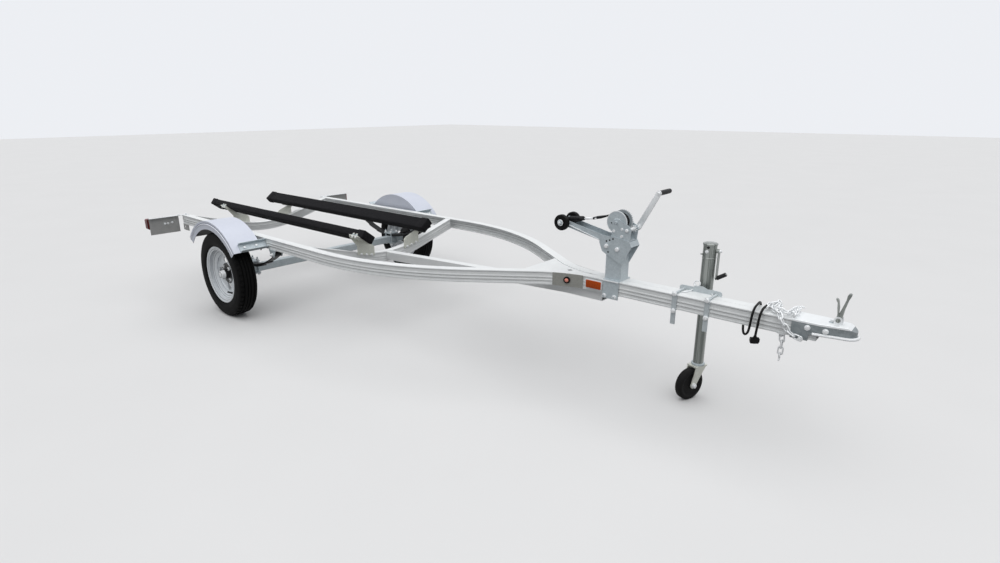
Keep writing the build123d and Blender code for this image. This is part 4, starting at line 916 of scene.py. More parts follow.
class TRAILER_OT_bunks(bpy.types.Operator):
    """Wraps the bunks' boards in carpet, with folded ends and staples underneath"""

    bl_idname = "trailer.bunks"
    bl_label = "Bunks"

    def execute(self, context):
        sizes = context.scene.trailer_bunks
        half_width, half_height = (sizes.width + sizes.pile) / 2, (sizes.height + sizes.pile) / 2
        board = block(sizes.length, half_width * 2, half_height * 2)
        bpy.ops.mesh.bevel(offset=sizes.edge * MM, segments=4, affect="EDGES")
        bays = 66
        cuts = [(AHEAD, (cut / bays - 0.5) * sizes.length) for cut in range(1, bays)]
        cuts += [(LEFT, share * half_width) for share in (-0.55, -0.2, 0.2, 0.55)]
        for way, reach in (*cuts, (UP, 0)):
            bpy.ops.mesh.select_all(action="SELECT")
            bpy.ops.mesh.bisect(plane_co=way * reach * MM, plane_no=way)
        settle(board)
        push = []
        for vertex in board.data.vertices:
            x, y, z = vertex.co / MM
            crown = (1 - (y / half_width) ** 2) if z > 0 else 0.0
            side = (1 - (z / half_height) ** 2) * (abs(y) > half_width - 3)
            ripple = noise.noise(Vector((x / 70, y / 45, z / 45)))
            swell = noise.noise(Vector((x / 260 + 9, y / 90, z / 90)))
            lift = sizes.crown * crown + 0.5 * side + 0.35 * ripple + 0.5 * swell - 0.2
            push.append(vertex.normal * lift * MM)
        for vertex, move in zip(board.data.vertices, push):
            vertex.co += move

        flap = half_height * 0.62
        end_x = sizes.length / 2 + 0.6
        parts = [board]
        for way in (1, -1):
            wrap = block(70, (half_width + 2.4) * 2, (half_height + 2.2) * 2)
            bpy.ops.transform.translate(value=(way * (sizes.length / 2 - 34) * MM, 0, 0))
            switch("OBJECT")
            parts.append(rounded(wrap, 6.5, 4))
            for edge in (1, -1):
                corners = [Vector((way * end_x, edge * y, z)) * MM for y, z in (
                    (half_width - 7, 6 - half_height), (half_width - 7, flap),
                    (7, 9 - half_height), (3, 6 - half_height))]
                fold = plate("fold", corners, AHEAD * way * 2.2)
                parts.append(rounded(fold, 0.9))
        reach = sizes.length / 2 - 12
        for edge in (1, -1):
            corners = [Vector((x, edge * y, 0.4 - half_height)) * MM for x, y in (
                (-reach, 4), (reach, 4), (reach, half_width - 7), (-reach, half_width - 7))]
            parts.append(plate("lap", corners, UP * -1.4))
        board = joined("bunk", parts)

        staple = block(11, 1.3, 1.3)
        switch("OBJECT")
        rounded(staple, 0.5)
        ahead, aside, high = -191, 236.18, 527.72
        for side, word in SIDES:
            place = Matrix.Translation(spot(ahead, side * aside, high))
            place = place @ Matrix.Rotation(side * sizes.cant, 4, "X")
            place = place @ Matrix.Translation((0, 0, sizes.pile / 2 * MM))
            carpet = copies(f"carpet_{word}", board, [place])
            fit(carpet, "frame", "carpet", f"bunk_{word}", angle=50)
            frames = []
            for count in range(34):
                for edge in (9.0, -9.0):
                    along = (-sizes.length / 2 + 25 + count * 59) * MM
                    at = Vector((along, edge * MM, (-half_height - 1.2) * MM))
                    turn = Matrix.Rotation(radians(7 * ((count * 5) % 4 - 1.5)), 4, "Z")
                    frames.append(place @ Matrix.Translation(at) @ turn)
            staples = copies(f"staples_{word}", staple, frames)
            fit(staples, look="black_grip")
        scrap(board, staple)
        return {"FINISHED"}


def dip(y):
    """Height of a crossmember's top edge at a distance from the middle."""
    if y < DIP_RADIUS * sin(DIP_SLOPE):
        return DIP_MIDDLE - sqrt(DIP_RADIUS**2 - y**2)
    return DIP_MIDDLE - (DIP_RADIUS - y * sin(DIP_SLOPE)) / cos(DIP_SLOPE)


class TRAILER_OT_fasteners(bpy.types.Operator):
    """Puts the bolts and nuts on the frame, springs, brackets, stand and coupler"""

    bl_idname = "trailer.fasteners"
    bl_label = "Fasteners"

    def execute(self, context):
        small = hexagon("small bolt", 13.0, 5.6, washer=1.6)
        bolt = hexagon("bolt", 17.0, 6.6, washer=2.0)
        nut = hexagon("nut", 17.0, 8.0, washer=2.0, stub=5.0)
        lag = hexagon("lag", 15.0, 6.6, washer=1.8, stub=7.0)
        hole = turned("hole", [(-0.25, 0), (-0.25, 4.2), (0.25, 4.2), (0.25, 0)], ORIGIN, UP, 20)
        across = Matrix.Rotation(radians(90), 4, "X")
        lean = context.scene.trailer_bunks.cant
        spring_y, eye = 581, 28
        for side, word in SIDES:
            out = LEFT * side
            cant = Vector((0, -side * sin(lean), cos(lean)))
            tops, lows, heads = [], [], []
            for x, way in ((700, 1), (-897, -1)):
                for along in (30, 60):
                    place = spot(x + way * along, side * 288.8, 541.1)
                    tops.append(facing(place, cant, 20 + along))
                    lows.append(facing(place - cant * 5 * MM, -cant, 10 + along))
                for y in (146, 184, 222):
                    heads.append(
                        facing(spot(x + way * 5, side * y, dip(y) - 9), AHEAD * way, y)
                    )
            fit(copies(f"bunk_nuts_{word}", lag, tops), "frame", "galvanised")
            fit(copies(f"bunk_bolts_{word}", small, lows + heads))

            nuts, heads = [], []
            for x in (-31, 31):
                for y in (-28.5, 28.5):
                    seat = side * spring_y + y
                    nuts.append(facing(spot(x, seat, 321.6), UP, x + y))
                    heads.append(facing(spot(x, seat, 236), -UP, x + 7))
            for x in (-345, 345):
                nuts.append(facing(spot(x, side * (spring_y + eye), 420), out, x))
                heads.append(facing(spot(x, side * (spring_y - eye), 420), -out, x + 11))
            fit(copies(f"clamp_nuts_{word}", nut, nuts))
            fit(copies(f"clamp_heads_{word}", bolt, heads))

            arms = []
            for angle in (40, 137):
                radial = spoke(radians(angle))
                for y in (668, 742):
                    place = beside(FENDER, side * y) + radial * 382.3 * MM
                    arms.append(facing(place, radial, y))
            for y in (580, 634):
                arms.append(facing(spot(-935, side * y, 518.4), UP, y - 935))
            fit(copies(f"arm_bolts_{word}", small, arms))

            lamp_nuts = [facing(spot(-943.2, side * y, z), AHEAD, y)
                         for y, z in ((730.4, 467.7), (709.5, 466.7), (679.4, 470.4))]
            fit(copies(f"lamp_nuts_{word}", small, lamp_nuts))

            stand = []
            for x in (2317.1, 2369.1):
                stand.append(facing(spot(x, side * PLATE_FACE, 442), out, x))
            for x in (2652, 2792):
                for z in (520, 444):
                    stand.append(facing(spot(x, side * PLATE_FACE, z), out, x + z))
            stand.append(facing(spot(3167, side * PLATE_FACE, 497), out, 8))
            taper = Vector((14.8, side * 77, 0)).normalized()
            stand.append(facing(spot(3226, side * 48.9, 495), taper, 20))
            for x, z, roll in ((2307, 671, 5), (2362.6, 663.4, 25)):
                stand.append(facing(spot(x, side * 39.1, z), out, roll))
            saddle = ((2301, 512), (2386, 512), (2386, 517.5), (2301, 517.5))
            fit(slab(f"saddle_edge_{word}", saddle, side * 53.2, side * 5, 1.2))
            master = nut if side > 0 else bolt
            fit(copies(f"stand_bolts_{word}", master, stand))

            holes = [Matrix.Translation(spot(x, side * 39.0, z)) @ across for x, z in (
                (2305.6, 693.9), (2321.7, 700), (2338, 707.9), (2316.3, 644.5))]
            fit(copies(f"head_holes_{word}", hole, holes), "frame", "black_grip")
        scrap(small, bolt, nut, lag, hole)
        return {"FINISHED"}


def box_round(width, height, radius):
    """Corner points of a rounded oblong about its middle, in millimetres."""
    points = []
    steps = 5
    for corner, (x, y) in enumerate(((1, 1), (-1, 1), (-1, -1), (1, -1))):
        for step in range(steps + 1):
            angle = radians(90 * (corner + step / steps))
            points.append((
                x * (width / 2 - radius) + radius * cos(angle),
                y * (height / 2 - radius) + radius * sin(angle),
            ))
    return points


class TRAILER_OT_lights(bpy.types.Operator):
    """Makes the side lights and reflectors, and the tail lamps' ribs and seals"""

    bl_idname = "trailer.lights"
    bl_label = "Lights"

    def execute(self, context):
        turn = radians(17.5)
        rib = primitive("cylinder", vertices=12, radius=0.0026, depth=0.056)
        rounded(rib, 0.8, angle=60)
        bend, bend_y = 478.2, 528.5
        for side, word in SIDES:
            y = bend_y - bend * cos(turn)
            seat = spot(FORK_X - bend * sin(turn), side * y, RAIL_Z)
            face = Vector((sin(turn), side * cos(turn), 0))
            marker = turned(
                f"marker_{word}",
                [(0.2, 0), (0.2, 9.6), (7, 9.4), (9.6, 8), (11.4, 4.6), (12, 0)], seat, face, 32,
            )
            fit(marker, "frame", "amber_lens", f"amber_lights_{word}", look="marker_lens")
            grommet = turned(
                f"grommet_{word}",
                [(0.1, 9.3), (0.1, 17), (3.2, 17), (5.8, 15.4), (6.8, 12.6), (6.2, 9.3),
                 (0.1, 9.3)],
                seat, face, 36,
            )
            fit(grommet, "frame", "wiring_black")
            for name, y, outline, depth, edge, slot in (
                ("reflector_tray", 50.5, box_round(88, 44, 5), 6, 1.2, "chain_zinc"),
                ("reflector", 55.5, box_round(80.5, 37, 4), 4, 1.4, "amber_lens"),
            ):
                outline = [(FORK_X - 7 + x, RAIL_Z + z) for x, z in outline]
                fit(slab(f"{name}_{word}", outline, side * y, side * depth, edge), "frame", slot)

            ribs = [Matrix.Translation(spot(-998.6, side * y, 474.5))
                    for y in [712 + 6.2 * k for k in range(18)]]
            fit(copies(f"lamp_ribs_{word}", rib, ribs), "frame", "red_lens")
            bezel = plate(
                f"lamp_seal_{word}",
                [spot(-960, side * (767 + x), 474.5 + z) for x, z in box_round(151.5, 74.5, 11)],
                AHEAD * 12.6,
            )
            fit(rounded(bezel, 1.5), "frame", "black_grip")
        scrap(rib)
        return {"FINISHED"}


def gear_outline(teeth, pitch, outer, root, centre, y, phase):
    """Corner points of a gear's edge, the first tooth pointing at the phase angle."""
    corners = []
    step = 360 / teeth
    for tooth in range(teeth):
        for share, reach in ((-0.36, root), (-0.23, pitch), (-0.12, outer), (0.12, outer),
                             (0.23, pitch), (0.36, root)):
            angle = radians(phase + (tooth + share) * step)
            corners.append(
                spot(centre[0] + reach * cos(angle), y, centre[1] + reach * sin(angle))
            )
    return corners


def bored(piece, places, radius):
    """Drills round holes across the trailer through a piece."""
    for place in places:
        drill = primitive("cylinder", place, vertices=20, radius=radius * MM, depth=40 * MM)
        drill.rotation_euler = LEFT.to_track_quat("Z", "Y").to_euler()
        only(piece)
        cut = piece.modifiers.new("hole", "BOOLEAN")
        cut.operation = "DIFFERENCE"
        cut.object = drill
        bpy.ops.object.modifier_apply(modifier="hole")
        scrap(drill)
    return piece


class TRAILER_OT_winch(bpy.types.Operator):
    """Cuts the winch's gears, winds its webbing and forms its crank, hook and rollers"""

    bl_idname = "trailer.winch"
    bl_label = "Winch"

    def execute(self, context):
        sizes = context.scene.trailer_winch
        drum_at = beside(DRUM)
        pinion_at = beside(PINION)
        mesh_turn = -28.0
        gear = plate(
            "gear",
            gear_outline(sizes.teeth, sizes.gear, 51.6, 46.6, DRUM, 29, mesh_turn),
            -LEFT * 4.6,
        )
        shaft = turned(
            "shaft",
            [(-41, 0), (-41, 6), (-39.5, 8), (-34.8, 8), (39, 8), (40.5, 6.5), (40.5, 0)],
            drum_at, LEFT, 28,
        )
        hub = turned("hub", [(29, 8), (31.8, 16), (29, 17.5), (24, 17.5), (24, 8), (29, 8)],
                     drum_at, LEFT, 32)
        flange = turned(
            "flange",
            [(-26.6, 9), (-26.6, 47.6), (-25.4, 49.4), (-26.2, 51), (-28.6, 50.6), (-29.2, 47.2),
             (-29.2, 9), (-26.6, 9)],
            drum_at, LEFT, 72,
        )
        boss = turned(
            "boss", [(-29, 8), (-29, 21), (-30.4, 19), (-31, 8), (-29, 8)], drum_at, LEFT, 32
        )
        bored(flange, [spot(2354.1, -28, 799.4), spot(2320.4, -28, 776.8)], 3.6)
        bored(gear, [spot(2326, 27, 805), spot(2368, 27, 761)], 6.0)
        drum = joined("drum_and_gear", [gear, shaft, hub, flange, boss])
        fit(drum, "drum", "galvanised", "winch_drum")
        edges = [
            turned("edge", [(low, 47.8), (low, 50.6), (high, 50.6), (high, 47.8), (low, 47.8)],
                   drum_at, LEFT, 72)
            for low, high in ((-29.8, -26.2), (22.6, 24.0))
        ]
        fit(joined("drum_edges", edges), "drum", "chain_zinc")

        outline = [(-25.6, 9)]
        for lap in range(10):
            reach = 11 + lap * 2.45
            outline += [(-25.8, reach), (-24.6, reach + 1.9)]
        outline += [(-24.6, 34.2), (-20, 34.9), (0, 35.2), (18, 34.9), (22.6, 34.2)]
        for lap in reversed(range(10)):
            reach = 11 + lap * 2.45
            outline += [(22.6, reach + 1.9), (23.8, reach)]
        outline += [(23.6, 9), (-25.6, 9)]
        coil = turned("webbing_wound", outline, drum_at, LEFT, 64)
        fit(coil, "drum", "webbing", "webbing_coil", angle=40)

        pinion = plate(
            "pinion",
            gear_outline(sizes.pinion_teeth, sizes.pinion, 16.4, 10.9, PINION, 30,
                         mesh_turn + 180 + 180 / sizes.pinion_teeth),
            -LEFT * 7,
        )
        shaft = turned(
            "crank_shaft",
            [(-43, 0), (-43, 5.5), (-41.5, 7), (-38, 7), (-38, 8), (61, 8), (61, 7), (77.5, 7),
             (78.5, 6), (78.5, 0)],
            pinion_at, LEFT, 24,
        )
        along = Vector((86, 0, 160)).normalized()
        aside = Vector((160, 0, -86)).normalized()
        length = hypot(86, 160)
        corners = []
        for end, first, wide in ((0, 90, 13.6), (length, -90, 12.2)):
            for step in range(9):
                angle = radians(first + 22.5 * step)
                place = along * (end + wide * cos(angle)) + aside * wide * sin(angle)
                corners.append(pinion_at + (LEFT * 68 + place) * MM)
        lever = rounded(plate("lever", corners, LEFT * 6), 1.6)
        sleeve = turned("sleeve", [(60, 7), (60, 12), (68.5, 12.5), (68.5, 7), (60, 7)],
                        pinion_at, LEFT, 28)
        nut = hexagon("shaft nut", 17, 7.5, washer=1.5)
        nut.data.transform(facing(pinion_at + LEFT * 74 * MM, LEFT, 10))
        grip_at = beside(LEVER_END)
        pin = turned("grip_pin", [(64, 0), (64, 5), (66, 7.5), (68, 7.5), (68, 4), (181, 4),
                                  (181, 7), (183, 6.4), (184, 0)], grip_at, LEFT, 20)
        crank = joined("crank_lever", [pinion, shaft, lever, sleeve, nut, pin])
        fit(crank, "crank", "galvanised", "winch_crank", look="chain_zinc")
        rings = [(74.6, 4.4), (74.6, 9.8), (77, 11)]
        for ring in range(14):
            at = 84 + ring * 6.2
            swell = 10.0 + 1.0 * sin(pi * (ring + 2) / 17)
            rings += [(at, swell), (at + 2.2, swell + 0.4), (at + 3.6, swell - 0.5)]
        rings += [(174, 11.2), (178, 10.6), (180, 9), (180.4, 4.4), (74.6, 4.4)]
        fit(turned("crank_handle", rings, grip_at, LEFT, 32), "crank", "black_grip", "crank_grip")

        rods = []
        for x, z in ((2338, 744), (2378, 724)):
            rods.append(turned(
                "rod", [(-37.5, 0), (-37.5, 6.5), (-34.6, 7), (-34.6, 4.5), (34.6, 4.5),
                        (34.6, 7), (37.5, 6.5), (37.5, 0)],
                spot(x, 0, z), LEFT, 16,
            ))
        pawl = ((2369, 757), (2371, 749), (2380, 746), (2388, 751), (2397, 766), (2391, 769),
                (2384, 762), (2377, 764))
        rods.append(slab("pawl", pawl, -22, 4, 0.8, 1))
        pawl_at = beside(PAWL)
        rods.append(turned("pawl_pin", [(-37, 0), (-37, 5), (-34.5, 6.5), (-34.5, 4), (-16, 4),
                                        (-15, 3), (-15, 0)], pawl_at, LEFT, 16))
        turns = [pawl_at + (spoke(k * 1.05) * 6.2 - LEFT * (17 - k * 0.35)) * MM
                 for k in range(22)]
        rods.append(wire("pawl_spring", turns, 0.8))
        fit(joined("winch_rods", rods))

        way = spoke(atan2(14, 80))
        middle = spot(2196.1, 0, 779.8)
        ring = []
        for angle in angles(16):
            taper = 1.0 if cos(angle) < 0 else 0.8
            bend = way * 33 * cos(angle) + LEFT * 15.5 * taper * sin(angle)
            ring.append(middle + bend * MM)
        body = wire("hook_body", ring, 4.0, closed=True)
        eye = wire("hook_eye", [middle + (way * x + LEFT * y) * MM for x, y in (
            (34, -25), (44, -25), (45, 0), (44, 25), (34, 25), (33, 0))], 3.0, closed=True)
        gate = wire("hook_gate", [middle + (way * x + LEFT * y) * MM for x, y in (
            (-20, -12.2), (-5, -8), (12, -10.5), (22, -12.6))], 1.7)
        fit(joined("snap_hook", [body, eye, gate]), "frame", "chain_zinc", "strap_hook")
        folds = []
        for fold in (
            ((2219, 779), (2219, 790), (2262, 799), (2293, 807.5), (2293, 803.5), (2262, 789)),
            ((2074, 767), (2074, 773), (2140, 780), (2151, 775), (2149, 762), (2120, 752),
             (2090, 761)),
        ):
            folds.append(slab("fold", fold, -24, 48, 1.2))
        fit(joined("strap_folds", folds), "frame", "webbing")
        # Partly painted highlight: a raised rib along each side of the boom, in the palest zinc so
        # that it shows as the bright line where the side catches the light
        ribs = [wire("rib", [spot(2088, y, 745.5), spot(2266, y, 695)], 2.2, smooth=False)
                for y in (-38.4, 38.4)]
        fit(joined("boom_highlight_ribs", ribs))

        half = [(-12.5, 8.5), (-12.5, 17.5), (-9.6, 19), (-9.6, 27), (-11.8, 29.5),
                (-12, 33.5), (-10.4, 36.4), (-7, 37.8)]
        tread = mirrored(half)
        for side, word in SIDES:
            centre = beside(ROLLER, side * 48.5)
            roller = turned(f"roller_tread_{word}", tread, centre, LEFT, 56)
            fit(roller, f"roller_{word}", "roller_rubber", f"bow_roller_{word}")
        washer = turned("washer", [(0, 9), (0, 15.5), (1.6, 15.5), (2.2, 14.6), (2.2, 9), (0, 9)],
                        ORIGIN, UP, 32)
        cap = hexagon("shaft_end", 14, 5.0, stub=1.6)
        ends = copies("washers", washer, [facing(beside(ROLLER, side * 61.2), LEFT * side)
                                          for side, word in SIDES])
        caps = copies("shaft_ends", cap, [facing(beside(ROLLER, side * 67), LEFT * side, 12)
                                          for side, word in SIDES])
        fit(joined("roller_ends", [ends, caps]))
        scrap(washer, cap)
        return {"FINISHED"}


class TRAILER_OT_jack(bpy.types.Operator):
    """Adds the jack's collars, cap, bolts, pull pin with its lanyard, and handle"""

    bl_idname = "trailer.jack"
    bl_label = "Jack"

    def execute(self, context):
        foot = spot(*JACK, 0)
        parts = []
        for low, high, reach in ((655, 660, 29.8), (455.5, 462, 29.8), (708, 715, 29.2)):
            parts.append(turned(
                "collar",
                [(low, 27), (low, reach - 1), (low + 1.2, reach), (high - 1.2, reach),
                 (high, reach - 1), (high, 27), (low, 27)],
                foot, UP, 48,
            ))
        parts.append(turned(
            "cap", [(717.6, 0), (717.6, 31.0), (718.6, 31.4), (720.0, 30.6), (721.4, 26),
                    (722, 12), (722.2, 0)], foot, UP, 48))
        bolt = hexagon("pin head", 12, 4.5, washer=1.5)
        nut = hexagon("pin nut", 13, 5, washer=1.5, stub=3)
        heads = [
            copies("head", bolt, [facing(spot(2720, 81.9, 687), -LEFT, 12)]),
            copies("pin_nut", nut, [facing(spot(2722, 138.4, 687), LEFT, 3),
                                    facing(spot(2764, 110, 690), AHEAD, 20)]),
        ]
        fit(joined("jack_bolts", heads))
        parts.append(turned("grease", [(0, 0), (0, 3.4), (5, 3.4), (6, 2.2), (9, 2.6), (11, 1.6),
                                       (11.4, 0)], spot(2700, 91, 672), (-0.7, -0.7, 0.1), 12))
        scrap(bolt, nut)
        fit(joined("jack_collars", parts), "frame", "galvanised", look="jack_zinc")
        hole = turned("jack_hole", [(-0.4, 0), (-0.4, 6.5), (0.5, 6.5), (0.7, 0)],
                      spot(2724, 81.4, 706), -LEFT, 20)
        fit(hole, "frame", "black_grip")

        knob = [(-6, 0), (-6, 4), (0, 4), (0, 7), (3, 8), (5, 7), (5, 0)]
        pin = turned("pull_pin", knob, spot(2694, 62, 536), (-0.1, -0.2, 1), 20)
        ring = [spot(2700 + 13 * cos(a), 62 + 3 * sin(a), 547 + 12 * sin(a))
                for a in angles(12)]
        loop = wire("pull_ring", ring, 3.0, closed=True)
        fit(joined("jack_pull_pin", [pin, loop]))
        near_lead = [(2703, 66, 536), (2716, 80, 528), (2742, 84, 521), (2768, 54, 518),
                     (2795, 17, 517.2), (2792, -6, 517.2), (2785, -24, 517.2)]
        far_lead = [(2698, 62, 536), (2690, 58, 524), (2683, 32, 517.2), (2672, 8, 517.2),
                    (2662, -7, 517.2)]
        leads = [wire("lanyard", [spot(*p) for p in lead], 2.6) for lead in (near_lead, far_lead)]
        tie = wire("lanyard_tie", [spot(2781 + 7 * cos(a), 4 + 6 * sin(a), 516.4)
                                   for a in angles(8)], 1.3, closed=True)
        fit(joined("jack_lanyard", [*leads, tie]))

        grip_at = spot(2763.8, 110, 572)
        tilt = Vector((0.84, 0, 0.54))
        rings = [(0, 3), (0, 8.6), (1.5, 9.4)]
        for k in range(7):
            rings += [(4 + k * 5.2, 8.9), (5.4 + k * 5.2, 9.3), (6.6 + k * 5.2, 8.3)]
        rings += [(42, 9.2), (44, 7.6), (44.6, 3), (0, 3)]
        fit(turned("jack_handle", rings, grip_at, tilt, 28), "frame", "black_grip", "jack_grip")
        pin = turned("jack_handle_pin", [(-7, 0), (-7, 6), (-5, 6.4), (-5, 3), (44.8, 3),
                                         (44.8, 5.4), (46.4, 4.6), (46.8, 0)],
                     grip_at, tilt, 16)
        fit(pin, "frame", "galvanised", look="jack_zinc")
        return {"FINISHED"}


class TRAILER_OT_caster(bpy.types.Operator):
    """Moulds the jack's wheel and adds its axle nuts and king pin collar"""

    bl_idname = "trailer.caster"
    bl_label = "Caster"

    def execute(self, context):
        turn = radians(250)
        trail = Vector((cos(turn), sin(turn), 0))
        axle = Vector((-trail.y, trail.x, 0))
        high, behind, end = 74, 46, 27.1
        centre = spot(*JACK, high) + trail * behind * MM
        half = [(-18, 6.5), (-18, 16), (-15, 18), (-14.4, 22), (-12.4, 45), (-13.8, 54),
                (-16.6, 57), (-17.4, 64), (-15.4, 70), (-11.6, 73), (-6, 74)]
        tread = mirrored(half)
        wheel = turned("caster_tread", tread, centre, axle, 72)
        fit(wheel, "caster", "caster_rubber", "caster_wheel")
        nut = hexagon("axle nut", 19, 8, washer=2, stub=3)
        head = hexagon("axle head", 19, 7, washer=2)
        parts = [
            copies("nut", nut, [facing(centre + axle * end * MM, axle, 14)]),
            copies("head", head, [facing(centre - axle * end * MM, -axle, 14)]),
        ]
        scrap(nut, head)
        fit(joined("caster_axle_ends", parts), "yoke", "chain_zinc")
        collar = turned(
            "leg_collar",
            [(160.3, 9), (160.3, 29), (163, 30), (168, 29), (170, 24), (170, 9), (160.3, 9)],
            spot(*JACK, 0), UP, 40,
        )
        fit(collar, "leg", "galvanised")
        return {"FINISHED"}


class TRAILER_OT_coupler(bpy.types.Operator):
    """Forms the coupler's latch levers, its spring and the ridge round the ball's housing"""

    bl_idname = "trailer.coupler"
    bl_label = "Coupler"

    def execute(self, context):
        lean = radians(13)
        along = Vector((sin(lean), 0, cos(lean)))
        across = Vector((cos(lean), 0, -sin(lean)))
        root = spot(3254, 0, 535)
        profile = [(-9, -8), (-4, -10), (8, -9), (40, -6), (80, -4.5), (96, -7), (104, -5),
                   (106, 0), (103, 5), (94, 5), (80, 3), (40, 4), (8, 8), (-5, 9), (-10, 4)]
        corners = [root + LEFT * 9.6 * MM + (along * a + across * c) * MM for a, c in profile]
        lever = rounded(plate("lever", corners, -LEFT * 19.2), 2.2, 3)
        outline = ((3247, 552), (3251, 552), (3250, 580), (3245, 606), (3240, 613), (3234, 613),
                   (3236, 606), (3241, 598), (3243, 578))
        trigger = slab("trigger", outline, 6.5, -13, 1.4)
        outline = ((3246, 545), (3262, 545), (3262, 556), (3246, 556))
        web = slab("web", outline, 7, -14, 1.5)
        pin = turned("pin", [(-20, 0), (-20, 7.2), (-17, 8), (-16, 5), (16, 5), (17, 8), (20, 7.2),
                             (20, 0)], root, LEFT, 20)
        fit(joined("latch_levers", [lever, trigger, web, pin]), "latch", "galvanised",
            "coupler_latch", look="jack_zinc")
        turns = [spot(3232 + 5.5 * cos(k * 0.9), 5.5 * sin(k * 0.9), 521 + k * 0.34)
                 for k in range(22)]
        fit(wire("latch_spring", turns, 0.9))
        pad = turned("spring_pad", [(519.4, 0), (519.4, 9), (520.8, 8.4), (521.2, 0)],
                     spot(3232, 0, 0), UP, 24)
        fit(pad, "frame", "galvanised")
        ball, nose = 3282, 43
        edge = [(3186, -62), (3240, -52)]
        for step in range(13):
            angle = radians(-90 + 15 * step)
            edge.append((ball + nose * cos(angle), nose * sin(angle)))
        edge += [(3240, 52), (3186, 62)]
        fit(wire("coupler_lip", [spot(x, y, 480) for x, y in edge], 5.8))
        return {"FINISHED"}


CHAIN_RIGHT = (
    (3150, -63.4, 452), (3122, -63.4, 460), (3101, -63.4, 476), (3089, -64, 495),
    (3078, -64, 513), (3066, -50, 529), (3045, -24, 528), (3025, 5, 526), (3030, 44, 531),
    (3034, 64, 545),
)
CHAIN_LEFT = (
    (3150, 63.4, 452), (3122, 63.4, 460), (3106, 63.4, 476), (3102, 64, 506),
    (3104, 54, 526), (3108, 34, 531), (3118, -42, 531),
)
CHAIN_HEAP = (
    (3012, -16, 532), (3010, 30, 533), (3032, 56, 535), (3048, 38, 533), (3047, -34, 532),
    (3078, -20, 533), (3100, -48, 533), (3096, 36, 534), (3120, 36, 536),
)
CHAIN_SHORT = ((3081, -30, 436), (3085, -30, 410), (3083, -30, 361))


def link_frames(route, pitch):
    """Places and turns the links of a chain, each a quarter turn from the last."""
    points = [spot(*place) for place in route]
    points[0] = points[0] - (points[1] - points[0]).normalized() * 4 * MM
    found = [points[0]]
    for first, second in zip(points, points[1:]):
        steps = ceil((second - first).length / MM)
        for step in range(1, steps + 1):
            place = first + (second - first) * (step / steps)
            if (place - found[-1]).length >= pitch * MM:
                found.append(found[-1] + (place - found[-1]).normalized() * pitch * MM)
    normal = LEFT
    frames = []
    for first, second in zip(found, found[1:]):
        way = (second - first).normalized()
        normal = (normal - way * normal.dot(way)).normalized()
        frames.append(((first + second) * 0.5, way, normal))
        normal = way.cross(normal)
    return found, frames


def standing(middle, way, normal):
    turn = Matrix((way, normal.cross(way), normal)).transposed().to_4x4()
    return Matrix.Translation(middle) @ turn


class TRAILER_OT_chains(bpy.types.Operator):
    """Links the safety chains and hangs their S hooks"""

    bl_idname = "trailer.chains"
    bl_label = "Safety chains"

    def execute(self, context):
        sizes = context.scene.trailer_chains
        bend = (sizes.inside + sizes.bar) / 2
        stretch = (sizes.pitch + 0.7 - sizes.inside) / 2
        link = primitive(
            "torus", major_segments=18, minor_segments=8, major_radius=bend * MM,
            minor_radius=sizes.bar / 2 * MM,
        )
        for way in (1, -1):
            switch("EDIT")
            bpy.ops.mesh.select_mode(type="VERT")
            bpy.ops.mesh.select_all(action="DESELECT")
            switch("OBJECT")
            for vertex in link.data.vertices:
                vertex.select = vertex.co.x * way > 0
            switch("EDIT")
            bpy.ops.transform.translate(value=(way * stretch * MM, 0, 0))
            switch("OBJECT")
        curl = sizes.hook_bend
        middle = []
        for step in range(9):
            angle = radians(170 - step * 32.5)
            middle.append((curl * cos(angle), curl * (1 + sin(angle))))
        for step in range(1, 9):
            angle = radians(90 + step * 31.25)
            middle.append((curl * cos(angle), curl * (sin(angle) - 1)))
        hook = wire("hook", [Vector((x, y, 0)) * MM for x, y in middle], 3.1)
        frames, hooks = [], []
        for route in (CHAIN_RIGHT, CHAIN_LEFT, CHAIN_HEAP, CHAIN_SHORT):
            found, links = link_frames(route, sizes.pitch)
            frames += [standing(*link_at) for link_at in links]
            way, normal = links[-1][1], links[-1][2]
            seat = found[-1] + way * (2 * curl - 2.85) * MM
            hooks.append(standing(seat, normal, normal.cross(way * -1)))
        parts = [copies("links", link, frames), copies("hooks", hook, hooks)]
        for side in (1, -1):
            parts.append(turned(
                "pin", [(PLATE_FACE, 0), (PLATE_FACE, 8), (54.6, 8), (55.2, 4), (72, 4), (72, 7.6),
                        (75, 7), (75.6, 0)], spot(3150, 0, 452), LEFT * side, 20))
        parts.append(wire("keeper", [spot(3081, y, z) for y, z in (
            (-41, 449.4), (-41, 441), (-36, 434), (-24, 434), (-19, 441), (-19, 449.4))], 3.4))
        parts.append(turned("keeper_pad", [(449.6, 0), (449.6, 22), (447.4, 21), (447, 0)],
                            spot(3081, -30, 0), UP, 28))
        fit(joined("chains_and_hooks", parts), "frame", "chain_zinc", "safety_chains", angle=60)
        scrap(link, hook)
        return {"FINISHED"}


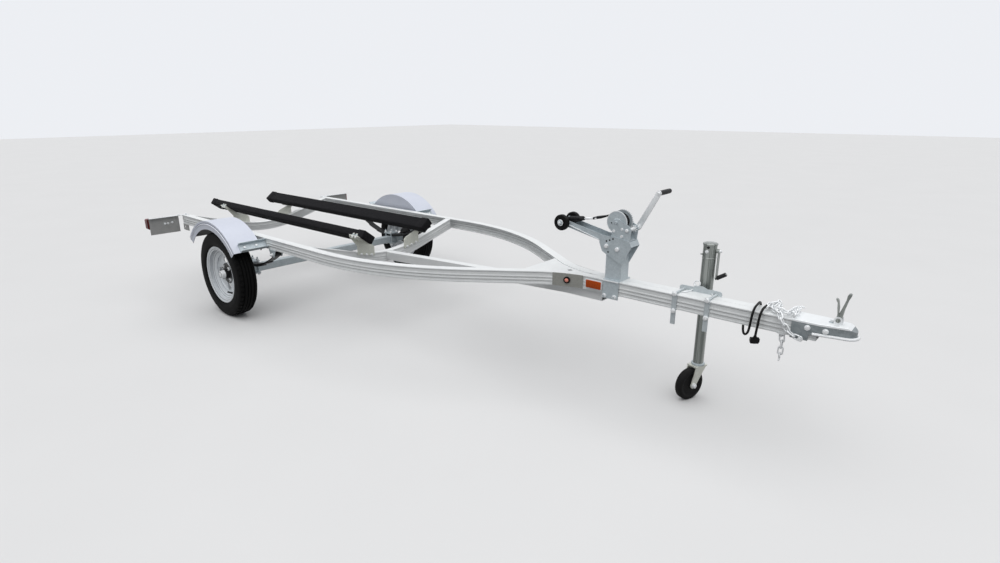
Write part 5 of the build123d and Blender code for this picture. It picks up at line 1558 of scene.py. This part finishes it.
LOOKS = {
    "rail": "ribbed",
    "bunk_brackets": "cream_zinc",
    "jack_mount": "mount_zinc",
    "hub": "black_grip",
    "jack": "jack_zinc",
    "caster_yoke": "cream_zinc",
    "coupler": "coupler_zinc",
    "tail_bracket": "tail_zinc",
}


class TRAILER_OT_finishes(bpy.types.Operator):
    """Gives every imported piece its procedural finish"""

    bl_idname = "trailer.finishes"
    bl_label = "Finishes"

    def execute(self, context):
        for part in frame["record"]["subparts"]:
            name = part["node"]
            look = [look for start, look in LOOKS.items() if name.startswith(start)]
            wear(nodes[name], look[0] if look else part["material_slot"])
        for piece in nodes.values():
            only(piece)
            bpy.ops.object.shade_smooth_by_angle(angle=radians(35))
        return {"FINISHED"}


operators = (
    TRAILER_OT_stage,
    TRAILER_OT_wiring,
    TRAILER_OT_finishes,
    TRAILER_OT_tyres,
    TRAILER_OT_wheel_trim,
    TRAILER_OT_bunks,
    TRAILER_OT_fasteners,
    TRAILER_OT_lights,
    TRAILER_OT_winch,
    TRAILER_OT_jack,
    TRAILER_OT_caster,
    TRAILER_OT_coupler,
    TRAILER_OT_chains,
)
groups = {
    "trailer_studio": StudioSizes,
    "trailer_wheels": WheelSizes,
    "trailer_bunks": BunkSizes,
    "trailer_chains": ChainSizes,
    "trailer_winch": WinchSizes,
}


class TRAILER_PT_panel(bpy.types.Panel):
    """Lists the steps that dress the trailer"""

    bl_label = "Boat trailer"
    bl_idname = "TRAILER_PT_panel"
    bl_space_type = "VIEW_3D"
    bl_region_type = "UI"
    bl_category = "Trailer"

    def draw(self, context):
        for step in operators:
            self.layout.operator(step.bl_idname)
        for name, group in groups.items():
            for size in group.__annotations__:
                self.layout.prop(getattr(context.scene, name), size)


classes = (*groups.values(), *operators, TRAILER_PT_panel)


def register():
    for kind in classes:
        bpy.utils.register_class(kind)
    for name, group in groups.items():
        setattr(bpy.types.Scene, name, bpy.props.PointerProperty(type=group))


def unregister():
    for name in groups:
        delattr(bpy.types.Scene, name)
    for kind in reversed(classes):
        bpy.utils.unregister_class(kind)


def main():
    register()
    for step in operators:
        group, action = step.bl_idname.split(".")
        getattr(getattr(bpy.ops, group), action)()


if __name__ == "__main__":
    main()
